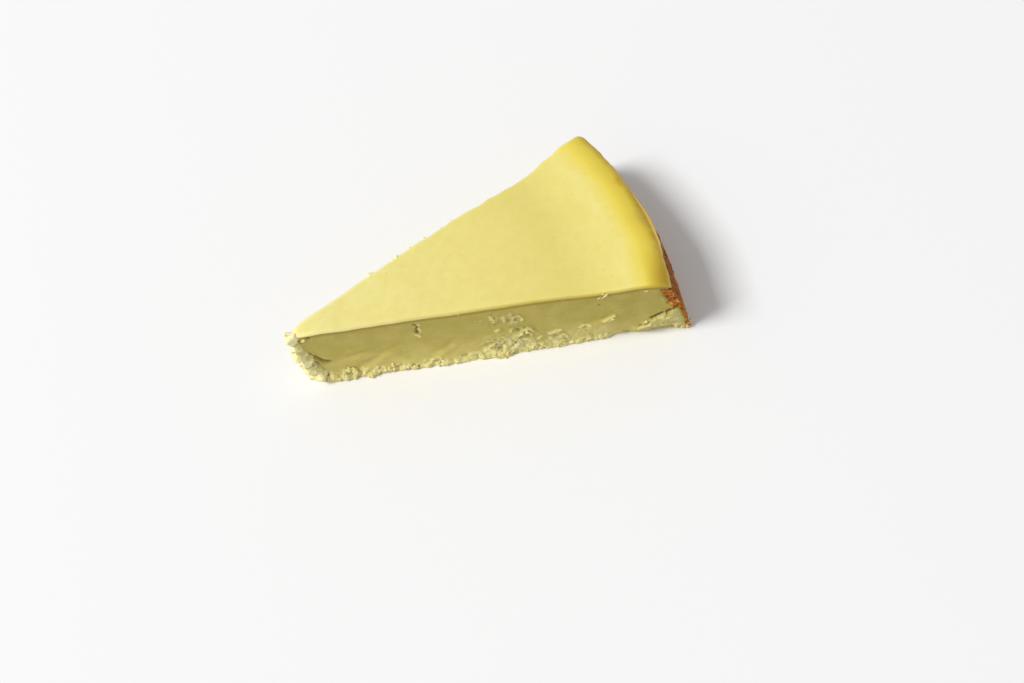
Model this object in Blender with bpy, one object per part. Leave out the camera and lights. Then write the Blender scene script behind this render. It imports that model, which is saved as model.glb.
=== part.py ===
"""A slice of baked matcha cheesecake: one wedge of a round cake, as one closed solid.

The wedge starts as a plain block whose sides are cut into a grid. Each grid point is then placed by
its share of the way from tip to rim, from front cut to back cut and from base to top, so the whole
form follows from the few sizes below. The same placing adds what the oven, the knife and the crumb
left on it: a top that sinks and rolls over at the rim, drag lines and torn patches on the cuts, a
broken tip and a crumbly foot.

The tip points to -X and the browned rim to +X. The front cut faces -Y, and the base lies on z = 0.
Sizes are in millimetres and angles in degrees. On a cut, a place is given as its distance from the
cake's axis and its height over the base.
"""
import math
from collections import namedtuple

import bmesh
import bpy
from mathutils import Vector, noise

# The round cake and the cut
BASE_RADIUS = 130.0         # rim wall at the base, as a 26 cm tin leaves it
RIM_RADIUS = 122.6          # rim wall at the top edge: the cake drew in as it cooled
WALL_BULGE = 0.8            # the wall swells a little between the two
RIM_SWELL = 1.0             # and the rim stands out a little past the middle of its arc
RIM_SWELL_AT = -4.0
RIM_SWELL_WIDTH = 5.5
SLICE_ANGLE = 31.6          # about a twelfth of the cake
CENTRE_HEIGHT = 27.8        # skin of the top over the base, near the middle of the cake

# The top: how it sinks and rolls over
TIP_SAG = 1.0               # at the tip, where nothing holds the skin up
TIP_SAG_REACH = 13.0
RING_SAG = 1.1              # a shallow ring between the middle and the shoulder
RING_RADIUS = 98.0
RING_WIDTH = 13.0
SHOULDER_DROP = 1.5         # the shoulder rolls down to the rim
SHOULDER_WIDTH = 8.0
SKIN_ROUND = 1.2            # the knife rounds the skin over at the cuts
SKIN_DROP = 0.9
SKIN_WAVE = 0.18            # the baked skin is faintly uneven
SKIN_WAVE_LENGTH = 17.0

# The tip: broken back from the axis, little under the skin and more below a step
TIP_BACK_TOP = 0.8
TIP_BACK_LOW = 3.3
TIP_STEP_HEIGHT = 12.0
TIP_STEP_BLUR = 1.5
TIP_HALF_WIDTH = 0.8        # the broken nose is this much wider than the bare wedge
NOSE_LENGTH = 4.0
BREAK_START = 4.2           # the break runs out between these distances from the axis
BREAK_END = 10.5
BREAK_DEPTH = 1.9
BREAK_CURDS = 1.2
BREAK_SKIN = (17.0, 23.0)   # heights between which the skin still covers the break

# Relief of the cuts: how deep or proud, and how large each lump is
WAVE = 0.45
WAVE_LENGTH = 28.0
CURD_SIZE = 3.2
CURD_ROUNDNESS = 1.6
CURD_SINK = 0.35
CREASE_DEPTH = 0.45
CREASE_WIDTH = 1.6
RIDGE_SHARE = 0.6           # the ridge beside a crease, as a share of its depth
FOOT_HEIGHT = 4.6
FOOT_RELIEF = 0.9
FOOT_LUMP = 4.0
FOOT_ROUNDNESS = 1.3
FOOT_PROUD = 0.25
PUSH_FADE = 2.0             # relief fades out this far behind a cut
PUSH_LIMIT = 0.35           # and takes no more than this share of the width

Tear = namedtuple("Tear", "along height half_length half_height depth")
FRONT_TEARS = [
    Tear(41.5, 21.0, 2.0, 6.0, 0.8),
    Tear(67.5, 15.5, 5.5, 7.5, 1.0),
    Tear(73.0, 6.0, 8.0, 4.0, 0.9),
    Tear(87.0, 5.0, 7.0, 2.0, 0.7),
]
BACK_TEARS = [
    Tear(30.0, 8.0, 7.0, 3.5, 0.8),
    Tear(58.0, 18.5, 4.0, 5.0, 0.9),
    Tear(96.0, 7.0, 9.0, 4.0, 1.0),
]

# Drag lines that the knife left, each from one place on the cut to another
FRONT_CREASES = [
    ((12.0, 10.0), (27.0, 13.3)),
    ((23.0, 7.0), (26.0, 11.6)),
    ((44.5, 5.4), (55.0, 12.8)),
    ((94.0, 9.9), (105.0, 13.5)),
]
BACK_CREASES = [
    ((16.0, 13.0), (34.0, 16.0)),
    ((70.0, 9.0), (84.0, 14.0)),
]

# The crack by the front corner, with the ledge that bulges out under it
CRACK = ((110.0, 4.6), (125.5, 14.6))
CRACK_DEPTH = 1.3
CRACK_WIDTH = 1.5
LEDGE_PROUD = 1.1
LEDGE_HEIGHT = 5.0

# The foot of the front cut: it spreads, with loose curds squeezed out, and one stretch stays back
FOOT_SPREAD = 1.0
FOOT_SPREAD_HEIGHT = 6.9
FOOT_SPREAD_RUNS_OUT = (60.0, 100.0)
FootCurd = namedtuple("FootCurd", "along proud")
FOOT_CURDS = [
    FootCurd(6.5, 1.0),
    FootCurd(12.1, 1.0),
    FootCurd(16.5, 1.2),
    FootCurd(23.3, 1.0),
    FootCurd(36.0, 0.6),
    FootCurd(48.5, 0.9),
    FootCurd(68.0, 0.7),
]
FOOT_CURD_HEIGHT = 1.2
FOOT_CURD_SIZE = 1.8
UNDERCUT = (105.0, 123.0)
UNDERCUT_DEPTH = 1.5
UNDERCUT_BLUR = 3.5
UNDERCUT_HEIGHT = 3.5

# The back cut wanders: proud toward the tip, pulled in before the rim, proud at the corner
BACK_BOW = 1.1
BACK_BOW_RUNS_OUT = (51.0, 81.0)
BACK_DIP = 0.4
BACK_DIP_RADIUS = 96.0
BACK_DIP_WIDTH = 10.0
BACK_CORNER = 1.5
BACK_BREAK_CURDS = 0.8

# The browned wall: broad shallow scales over finer roughness, and a crumbly foot
CRUST_RELIEF = 0.45
CRUST_FLAKE = 7.0
CRUST_GRAIN = 2.5
CRUST_GRAIN_SHARE = 0.5
CRUST_FOOT_SHARE = 0.5
CRUST_FADE = 1.5

# How fine the grid is
TIP_TO_RIM_CELLS = 36
CUT_REFINING = 3            # the cuts have this many times more cells along them
FRONT_TO_BACK_CELLS = 16
BASE_TO_TOP_CELLS = 15
RIM_CROWDING = 1.3          # above 1, cells crowd toward the rim
CUT_CROWDING = 0.6          # share by which cells crowd toward the cuts

MM = 0.001
HALF_ANGLE = math.radians(SLICE_ANGLE / 2)
AXIS_X = -(TIP_BACK_TOP + BASE_RADIUS) / 2      # the cake's axis, with the slice centred on the origin
AXIS_Y = -BACK_CORNER / 2
FRONT, BACK = -1, 1
NEARLY = 1e-6

# Each kind of noise is drawn from its own layer, so that no two show the same lumps
FRONT_LAYER, BACK_LAYER, CRUST_LAYER, SKIN_LAYER = 0.0, 40.0, 80.0, 120.0
WAVE_LAYER, TORN_LAYER, FOOT_LAYER, BREAK_LAYER, FLAKE_LAYER, GRAIN_LAYER = 3.7, 7.4, 11.1, 14.8, 18.5, 22.2


def step(start, end, value):
    """Rise smoothly from 0 at start to 1 at end."""
    share = min(1.0, max(0.0, (value - start) / (end - start)))
    return share * share * (3 - 2 * share)


def fall(start, end, value):
    """Fall smoothly from 1 at start to 0 at end."""
    return 1 - step(start, end, value)


def hump(value, centre, width):
    """A smooth hump of height 1 at its centre."""
    return math.exp(-((value - centre) / width) ** 2)


def lumpy(along, up, size, layer):
    """Smooth noise between about -1 and 1, with lumps of one size."""
    return noise.noise(Vector((along / size, up / size, layer)))


def curds(along, up, size, layer):
    """Rounded lumps side by side with creases between them, about -0.5 to 0.5."""
    distances, _ = noise.voronoi(Vector((along / size, up / size, layer)))
    return 0.5 - distances[0]


def seen_from_line(along, up, line):
    """Height of a place over a straight line on the cut, and its weight: 1 beside the line, 0 past it."""
    (x0, y0), (x1, y1) = line
    dx, dy = x1 - x0, y1 - y0
    length = math.hypot(dx, dy)
    share = ((along - x0) * dx + (up - y0) * dy) / length ** 2
    above = ((up - y0) * dx - (along - x0) * dy) / length
    beside = step(-0.1, 0.15, share) * fall(0.85, 1.1, share)
    return above, beside


def tip_back(height):
    """How far the tip is broken back from the axis at a height."""
    low = fall(TIP_STEP_HEIGHT - TIP_STEP_BLUR, TIP_STEP_HEIGHT + TIP_STEP_BLUR, height)
    return TIP_BACK_TOP + (TIP_BACK_LOW - TIP_BACK_TOP) * low


def wall_radius(height, angle):
    """Radius of the rim wall, which leans in from base to top and swells between them."""
    share = min(1.0, height / CENTRE_HEIGHT)
    radius = BASE_RADIUS + (RIM_RADIUS - BASE_RADIUS) * share
    radius += WALL_BULGE * math.sin(math.pi * share)
    return radius + RIM_SWELL * share * hump(math.degrees(angle), RIM_SWELL_AT, RIM_SWELL_WIDTH)


def top_height(radius, angle):
    """Height of the skin: sunk at the tip and in a ring, rolled over at the shoulder."""
    height = CENTRE_HEIGHT
    height += SKIN_WAVE * lumpy(radius, angle * radius, SKIN_WAVE_LENGTH, SKIN_LAYER)
    height -= TIP_SAG * fall(0.0, TIP_SAG_REACH, radius)
    height -= RING_SAG * hump(radius, RING_RADIUS, RING_WIDTH)
    height -= SHOULDER_DROP * step(RIM_RADIUS - SHOULDER_WIDTH, RIM_RADIUS, radius) ** 2
    return height


def torn(along, height, tears, layer):
    """Torn patches are pitted: rounded curds, mostly pulled in behind the cut."""
    lumps = CURD_ROUNDNESS * curds(along, height, CURD_SIZE, layer) - CURD_SINK
    relief = 0.0
    for tear in tears:
        patch = hump(along, tear.along, tear.half_length) * hump(height, tear.height, tear.half_height)
        relief += patch * tear.depth * lumps
    return relief


def creased(along, height, creases):
    """A drag line is a shallow groove with a low ridge under it."""
    relief = 0.0
    for line in creases:
        above, beside = seen_from_line(along, height, line)
        groove = hump(above, 0.0, CREASE_WIDTH)
        ridge = hump(above, -1.8 * CREASE_WIDTH, CREASE_WIDTH)
        relief += CREASE_DEPTH * beside * (RIDGE_SHARE * ridge - groove)
    return relief


def cracked(along, height):
    """A crack that runs up to the rim, and under it a ledge of crumb that bulges out."""
    above, beside = seen_from_line(along, height, CRACK)
    ledge = step(0.0, 0.4 * LEDGE_HEIGHT, -above) * fall(0.7 * LEDGE_HEIGHT, 2 * LEDGE_HEIGHT, -above)
    return beside * (LEDGE_PROUD * ledge - CRACK_DEPTH * hump(above, 0.0, CRACK_WIDTH))


def foot(along, height, layer):
    """The foot of a cut is a crumbly band that swells and shrinks."""
    low = fall(0.3 * FOOT_HEIGHT, FOOT_HEIGHT, height)
    return FOOT_RELIEF * low * (FOOT_PROUD + FOOT_ROUNDNESS * curds(along, height, FOOT_LUMP, layer))


def front_foot(along, height):
    """What the front foot adds: it spreads, with curds squeezed out, and is undercut by the corner."""
    relief = FOOT_SPREAD * fall(*FOOT_SPREAD_RUNS_OUT, along) * fall(0.0, FOOT_SPREAD_HEIGHT, height)
    low = hump(height, FOOT_CURD_HEIGHT, FOOT_CURD_SIZE)
    for curd in FOOT_CURDS:
        relief += curd.proud * hump(along, curd.along, FOOT_CURD_SIZE) * low
    start, end = UNDERCUT
    under = step(start - UNDERCUT_BLUR, start, along) * fall(end, end + UNDERCUT_BLUR, along)
    return relief - UNDERCUT_DEPTH * under * fall(0.3 * UNDERCUT_HEIGHT, UNDERCUT_HEIGHT, height)


def broken_tip(along, height):
    """Near the tip the front cut is broken away in curds under the skin."""
    crumbly = fall(BREAK_START, BREAK_END, along)
    lumps = BREAK_CURDS * curds(along, height, CURD_SIZE, FRONT_LAYER + BREAK_LAYER)
    return crumbly * (lumps - BREAK_DEPTH * fall(*BREAK_SKIN, height))


def front_relief(along, height):
    """How far the front cut stands out (+) or is pulled in (-) at a place."""
    relief = WAVE * lumpy(along, height, WAVE_LENGTH, FRONT_LAYER + WAVE_LAYER)
    relief += torn(along, height, FRONT_TEARS, FRONT_LAYER + TORN_LAYER)
    relief += creased(along, height, FRONT_CREASES)
    relief += cracked(along, height)
    relief += foot(along, height, FRONT_LAYER + FOOT_LAYER)
    relief += front_foot(along, height)
    relief += broken_tip(along, height)
    return relief


def back_relief(along, height):
    """The same for the back cut, which is cleaner but wanders more."""
    relief = WAVE * lumpy(along, height, WAVE_LENGTH, BACK_LAYER + WAVE_LAYER)
    relief += BACK_BOW * fall(*BACK_BOW_RUNS_OUT, along)
    relief -= BACK_DIP * hump(along, BACK_DIP_RADIUS, BACK_DIP_WIDTH)
    relief += BACK_CORNER * step(BACK_DIP_RADIUS, BACK_DIP_RADIUS + 2 * BACK_DIP_WIDTH, along)
    relief += torn(along, height, BACK_TEARS, BACK_LAYER + TORN_LAYER)
    relief += creased(along, height, BACK_CREASES)
    relief += foot(along, height, BACK_LAYER + FOOT_LAYER)
    crumbly = fall(BREAK_START, BREAK_END, along)
    relief += BACK_BREAK_CURDS * crumbly * curds(along, height, CURD_SIZE, BACK_LAYER + BREAK_LAYER)
    return relief


def crust_relief(angle, height):
    """The browned wall is flaky: broad shallow scales, thicker near the base."""
    around = angle * BASE_RADIUS
    scales = curds(around, height, CRUST_FLAKE, CRUST_LAYER + FLAKE_LAYER)
    grain = lumpy(around, height, CRUST_GRAIN, CRUST_LAYER + GRAIN_LAYER)
    relief = CRUST_RELIEF * (scales + CRUST_GRAIN_SHARE * grain)
    return relief + CRUST_FOOT_SHARE * foot(around, height, CRUST_LAYER + FOOT_LAYER)


def crowd(share):
    """Crowd the cells between the cuts toward both cuts."""
    eased = 0.5 - 0.5 * math.cos(math.pi * share)
    return share + CUT_CROWDING * (eased - share)


def place(tip_to_rim, front_to_back, base_to_top):
    """Where a point of the block goes on the slice, in millimetres from the foot of the axis."""
    across = 2 * crowd(front_to_back) - 1
    angle = HALF_ANGLE * across
    level = base_to_top * CENTRE_HEIGHT
    start, end = tip_back(level), wall_radius(level, angle)
    radius = end - (end - start) * (1 - tip_to_rim) ** RIM_CROWDING

    # The skin, rounded over where a cut ends it
    to_cut = radius * math.sin(HALF_ANGLE * (1 - abs(across)))
    top = top_height(radius, angle) - SKIN_DROP * fall(0.0, SKIN_ROUND, to_cut)
    height = base_to_top * top

    # The blunt nose is wider than the bare wedge would be there
    nose = TIP_HALF_WIDTH * fall(0.0, NOSE_LENGTH, radius - start)
    x = radius * math.cos(angle) + nose * across ** 2
    y = radius * math.sin(angle) + nose * across

    # Relief pushes each cut along its own normal, and leaves the middle where it is
    side, relief = (FRONT, front_relief) if across < 0 else (BACK, back_relief)
    width = 2 * radius * math.sin(HALF_ANGLE) + nose
    push = max(relief(radius, height), -PUSH_LIMIT * width)
    push *= abs(across) * math.exp(-to_cut / PUSH_FADE)
    x -= push * math.sin(HALF_ANGLE)
    y += side * push * math.cos(HALF_ANGLE)

    # And it pushes the rim wall along the radius
    outward = crust_relief(angle, height) * math.exp(-(end - radius) / CRUST_FADE)
    x += outward * math.cos(angle)
    y += outward * math.sin(angle)
    return Vector((x, y, height))


def cut_into_cells(bm, axis, cells, keep=None):
    """Cut the block's edges that run along one axis into equal cells, all of them or those kept."""
    edges = []
    for edge in bm.edges:
        run = edge.verts[1].co - edge.verts[0].co
        if abs(run[axis]) > NEARLY and (keep is None or keep(edge)):
            edges.append(edge)
    bmesh.ops.subdivide_edges(bm, edges=edges, cuts=cells - 1, use_grid_fill=True)


def near_a_cut(edge):
    """True for an edge on the front or the back side of the block, or one cell in from it."""
    one_cell = 1 / FRONT_TO_BACK_CELLS + NEARLY
    return all(min(vert.co.y, 1 - vert.co.y) < one_cell for vert in edge.verts)


def slice_mesh():
    """Cut a unit block into cells and place each of its points on the slice."""
    bm = bmesh.new()
    bmesh.ops.create_cube(bm, size=1.0)
    bmesh.ops.translate(bm, verts=bm.verts, vec=(0.5, 0.5, 0.5))
    cut_into_cells(bm, 0, TIP_TO_RIM_CELLS)
    cut_into_cells(bm, 1, FRONT_TO_BACK_CELLS)
    cut_into_cells(bm, 2, BASE_TO_TOP_CELLS)
    cut_into_cells(bm, 0, CUT_REFINING, keep=near_a_cut)
    bmesh.ops.poke(bm, faces=[face for face in bm.faces if len(face.verts) > 4])
    for vert in bm.verts:
        vert.co = (place(*vert.co) + Vector((AXIS_X, AXIS_Y, 0))) * MM
    bmesh.ops.triangulate(bm, faces=bm.faces)
    bmesh.ops.recalc_face_normals(bm, faces=bm.faces)
    mesh = bpy.data.meshes.new("cheesecake_slice")
    bm.to_mesh(mesh)
    bm.free()
    return mesh


def baked_matcha_curd():
    """Baked matcha curd: a satin, yellow green paste."""
    material = bpy.data.materials.new("baked_matcha_curd")
    material.use_nodes = True
    shader = material.node_tree.nodes["Principled BSDF"]
    shader.inputs["Base Color"].default_value = (0.80, 0.70, 0.24, 1.0)
    shader.inputs["Roughness"].default_value = 0.5
    shader.inputs["Metallic"].default_value = 0.0
    return material


def main():
    for old in list(bpy.data.objects):
        bpy.data.objects.remove(old)
    collection = bpy.data.collections.new("matcha_cheesecake_slice")
    bpy.context.scene.collection.children.link(collection)
    piece = bpy.data.objects.new("cheesecake_slice", slice_mesh())
    piece.data.materials.append(baked_matcha_curd())
    piece.data.shade_smooth()
    collection.objects.link(piece)


main()
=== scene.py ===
# %% [markdown]
# # A slice of baked matcha cheesecake
#
# One wedge cut from a round cake. On top is a satin yellow skin, the two cuts show soft green curd, the
# wall is browned where the cake met its tin, and the tip and the foot have crumbled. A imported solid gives
# the slice its size and its place. This script makes the fine surface that stands for that solid, then
# the loose crumbs, the finishes, the light and the camera.

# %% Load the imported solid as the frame
import math
import random
from collections import namedtuple

import bmesh
import bpy
from mathutils import Matrix, Vector, noise


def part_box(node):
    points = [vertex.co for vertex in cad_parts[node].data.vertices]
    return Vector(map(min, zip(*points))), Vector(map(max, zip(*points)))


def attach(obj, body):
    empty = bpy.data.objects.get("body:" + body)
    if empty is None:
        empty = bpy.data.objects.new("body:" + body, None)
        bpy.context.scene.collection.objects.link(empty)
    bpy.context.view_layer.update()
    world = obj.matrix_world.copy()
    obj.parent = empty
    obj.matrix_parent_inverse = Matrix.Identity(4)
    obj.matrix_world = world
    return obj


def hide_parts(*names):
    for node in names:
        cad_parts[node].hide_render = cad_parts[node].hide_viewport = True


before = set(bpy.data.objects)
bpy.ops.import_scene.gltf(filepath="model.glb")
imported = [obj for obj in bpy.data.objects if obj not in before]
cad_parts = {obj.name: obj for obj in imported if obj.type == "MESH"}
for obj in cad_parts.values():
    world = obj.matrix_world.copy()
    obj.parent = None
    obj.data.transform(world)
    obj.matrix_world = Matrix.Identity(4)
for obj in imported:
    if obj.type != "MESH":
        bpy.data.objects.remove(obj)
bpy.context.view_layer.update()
NODE = "cheesecake_slice"
MM = 0.001
cad_low, cad_high = (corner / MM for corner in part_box(NODE))
print("solid:", [round(v, 1) for v in cad_high - cad_low], "mm")

# %% [markdown]
# ## The sizes of the cake
#
# Sizes are written in millimetres and angles in degrees. A cheesecake is poured into a tin, so its base
# has the tin's radius. It draws in as it cools, so the top edge lies further in and the wall leans. All
# places are measured from the cake's own axis, because the tip of a slice lies near it and the two cuts
# and the wall are simple there.

# %% Sizes of the cake and of the cut
BASE_RADIUS = 130.0
RIM_RADIUS = 122.6
WALL_BULGE = 0.8
RIM_SWELL, RIM_SWELL_AT, RIM_SWELL_WIDTH = 1.0, -4.0, 5.5
SLICE_ANGLE = 31.6
CENTRE_HEIGHT = 27.8
TIP_BACK_TOP, TIP_BACK_LOW = 0.8, 3.3
TIP_STEP_HEIGHT, TIP_STEP_BLUR = 12.0, 1.5
TIP_HALF_WIDTH, NOSE_LENGTH = 0.8, 4.0
CORNER_PROUD = 1.5
HALF_ANGLE = math.radians(SLICE_ANGLE / 2)
AXIS = Vector((-(TIP_BACK_TOP + BASE_RADIUS) / 2, -CORNER_PROUD / 2, 0.0))
print("tip of the solid at", round(cad_low.x, 1), "and of the plan at", round(AXIS.x + TIP_BACK_TOP, 1))

# %% [markdown]
# ## Helpers for node trees
#
# Shapes that follow a rule, and all finishes, are node trees. One small function adds a node with its
# settings and links, so that a tree reads like a list of steps. The part of it that fills inputs stands
# alone, because a shader's inputs are filled last. Three more functions open a Geometry Nodes tree whose
# sizes are named inputs, close it, and run it and keep the result as a plain mesh.

# %% Helpers for node trees
SOCKETS = {
    float: "NodeSocketFloat",
    int: "NodeSocketInt",
    str: "NodeSocketString",
    bpy.types.Material: "NodeSocketMaterial",
}


def feed(tree, node, inputs):
    """Fill inputs of a node. Each is named or numbered, and takes a value, a socket or a node's output."""
    for key, value in inputs.items():
        socket = node.inputs[key]
        if isinstance(key, str):
            socket = next(s for s in node.inputs if s.name == key and s.enabled)
        if isinstance(value, bpy.types.Node):
            value = next(s for s in value.outputs if s.enabled)
        if isinstance(value, bpy.types.NodeSocket):
            tree.links.new(value, socket)
        else:
            socket.default_value = value


def add(tree, kind, inputs=None, **settings):
    """Add a node with its settings and links."""
    node = tree.nodes.new(kind)
    for name, value in settings.items():
        setattr(node, name, value)
    feed(tree, node, inputs or {})
    return node


def open_tree(name, sizes):
    """Start a Geometry Nodes tree that takes a mesh and named sizes."""
    tree = bpy.data.node_groups.new(name, "GeometryNodeTree")
    tree.interface.new_socket("Geometry", in_out="OUTPUT", socket_type="NodeSocketGeometry")
    tree.interface.new_socket("Geometry", in_out="INPUT", socket_type="NodeSocketGeometry")
    for size, value in sizes.items():
        socket = tree.interface.new_socket(size, in_out="INPUT", socket_type=SOCKETS[type(value)])
        if not isinstance(value, bpy.types.Material):
            socket.default_value = value
    return tree, add(tree, "NodeGroupInput").outputs


def close_tree(tree, geometry, materials, side=None):
    """End a tree in Realize Instances and Set Material, with one material or one for each side."""
    last = add(tree, "GeometryNodeRealizeInstances", {"Geometry": geometry})
    for number, material in enumerate(materials):
        chosen = True
        if side:
            here = add(tree, "GeometryNodeInputNamedAttribute", {"Name": side}, data_type="INT")
            sides = {"A": here, "B": number}
            chosen = add(tree, "FunctionNodeCompare", sides, data_type="INT", operation="EQUAL")
        last = add(tree, "GeometryNodeSetMaterial", {
            "Geometry": last,
            "Selection": chosen,
            "Material": material,
        })
    add(tree, "NodeGroupOutput", {"Geometry": last})


def run_tree(tree, mesh, name, sizes=None):
    """Run a tree on a mesh and return the result as a plain mesh."""
    carrier = bpy.data.objects.new(name, mesh)
    bpy.context.scene.collection.objects.link(carrier)
    modifier = carrier.modifiers.new(tree.name, "NODES")
    modifier.node_group = tree
    for socket in tree.interface.items_tree:
        if socket.in_out == "INPUT" and socket.name in (sizes or {}):
            modifier[socket.identifier] = sizes[socket.name]
    seen = carrier.evaluated_get(bpy.context.evaluated_depsgraph_get())
    made = bpy.data.meshes.new_from_object(seen)
    made.name = name
    bpy.data.objects.remove(carrier)
    return made


print("helpers ready for", len(SOCKETS), "kinds of input")

# %% Steps that the shape trees share
MIDDLE_GREY = (0.5, 0.5, 0.5)
LENGTHS = ("Spacing", "Smallest", "Largest", "Grain", "Lump size", "Depth")


def row_of(names, values):
    """Pair a tree's inputs with one row of a table, whose lengths are in millimetres."""
    return {name: value * MM if name in LENGTHS else value for name, value in zip(names, values)}


def swirl(tree, here, often, detail):
    """Smooth noise that points another way at each place and evens out to nothing."""
    noisy = add(tree, "ShaderNodeTexNoise", {"Vector": here, "Scale": often, "Detail": detail})
    difference = {0: noisy.outputs["Color"], 1: MIDDLE_GREY}
    return add(tree, "ShaderNodeVectorMath", difference, operation="SUBTRACT")


def keep_above_floor(tree, geometry):
    """Lift every point that lies under the floor up to it."""
    parts = add(tree, "ShaderNodeSeparateXYZ", {"Vector": add(tree, "GeometryNodeInputPosition")}).outputs
    lifted = add(tree, "ShaderNodeMath", {0: parts["Z"], 1: 0.0}, operation="MAXIMUM")
    on_floor = add(tree, "ShaderNodeCombineXYZ", {"X": parts["X"], "Y": parts["Y"], "Z": lifted})
    return add(tree, "GeometryNodeSetPosition", {"Geometry": geometry, "Position": on_floor})


print("noise is centred on", MIDDLE_GREY)

# %% [markdown]
# ## Colours
#
# Colours are written as sRGB hex values, as a paint program shows them, and one function turns them to
# the linear values that a shader needs.

# %% Colours
def colour(hex_value):
    """Turn an sRGB hex value to linear."""
    parts = [int(hex_value[i:i + 2], 16) / 255 for i in (1, 3, 5)]
    return [p / 12.92 if p <= 0.04045 else ((p + 0.055) / 1.055) ** 2.4 for p in parts] + [1.0]


print("mid grey is", round(colour("#808080")[0], 3))

# %% [markdown]
# ## The finishes
#
# Baked matcha curd is a dense paste of cheese, egg and tea powder. Light enters a little way, so it looks
# soft, and it is neither glossy nor chalky. Each finish is one material that mixes a few colours by
# height, by radius or by marks kept on the mesh, such as how torn a place is. A painted picture could be
# laid on the slice instead, but marks follow the surface, so the pattern stays put from every side.

# %% Steps that the finishes share
CURD_IOR = 1.45
AXIS_IN_METRES = [value * MM for value in AXIS]


def new_material(name):
    """Start a material with a Principled shader for baked curd."""
    material = bpy.data.materials.new(name)
    material.use_nodes = True
    shader = material.node_tree.nodes["Principled BSDF"]
    feed(material.node_tree, shader, {
        "IOR": CURD_IOR,
        "Subsurface Weight": 0.5,
        "Subsurface Radius": (1.0, 0.8, 0.35),
        "Subsurface Scale": 1.1 * MM,
    })
    return material, material.node_tree, shader


def from_axis(tree):
    """Object coordinates moved so that they start at the foot of the cake's axis."""
    here = add(tree, "ShaderNodeTexCoord").outputs["Object"]
    return add(tree, "ShaderNodeVectorMath", {0: here, 1: AXIS_IN_METRES}, operation="SUBTRACT")


def distance_from_axis(tree, here):
    """How far a place is from the cake's upright axis."""
    flat = add(tree, "ShaderNodeVectorMath", {0: here, 1: (1.0, 1.0, 0.0)}, operation="MULTIPLY")
    return add(tree, "ShaderNodeVectorMath", {0: flat}, operation="LENGTH").outputs["Value"]


def ramp(tree, value, stops):
    """Colours along a value from 0 to 1: stops are (place, hex colour)."""
    node = add(tree, "ShaderNodeValToRGB", {"Fac": value})
    elements = node.color_ramp.elements
    while len(elements) < len(stops):
        elements.new(0.5)
    for element, (place, hex_value) in zip(elements, stops):
        element.position = place
        element.color = colour(hex_value)
    return node


def tinted(tree, base, tint, share, most=1.0):
    """Mix a tint into a colour by a share, and at most so much of it. A hex value is written as text."""
    part = add(tree, "ShaderNodeMath", {0: share, 1: most}, operation="MULTIPLY")
    base, tint = (colour(c) if isinstance(c, str) else c for c in (base, tint))
    return add(tree, "ShaderNodeMix", {"Factor": part, "A": base, "B": tint}, data_type="RGBA")


def marked(tree, name, start=0.0, full=1.0):
    """How strongly a mark on the mesh shows, such as how torn a place is: 0 at start and 1 at full."""
    kept = add(tree, "ShaderNodeAttribute", attribute_name=name).outputs["Fac"]
    return add(tree, "ShaderNodeMapRange", {"Value": kept, "From Min": start, "From Max": full})


def spots(tree, here, size_mm, low, high, detail=2.0):
    """Noise with lumps of one size, stretched so that low gives 0 and high gives 1."""
    grain = add(tree, "ShaderNodeTexNoise", {"Vector": here, "Scale": 1 / (size_mm * MM), "Detail": detail})
    return add(tree, "ShaderNodeMapRange", {"Value": grain, "From Min": low, "From Max": high})


def finest_relief(tree, height, depth_mm):
    """Relief too small for the mesh, as a normal for the shader."""
    return add(tree, "ShaderNodeBump", {"Height": height, "Distance": depth_mm * MM, "Strength": 1.0})


print("curd has an IOR of", CURD_IOR)

# %% [markdown]
# ## The skin
#
# The top has dried to a satin skin, pale yellow in the middle and golden toward the rim, where the oven
# reached it. The colour follows the distance from the axis, because a round cake browns in rings. Even
# rings would look drawn, so slow noise pushes them in and out.

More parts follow.
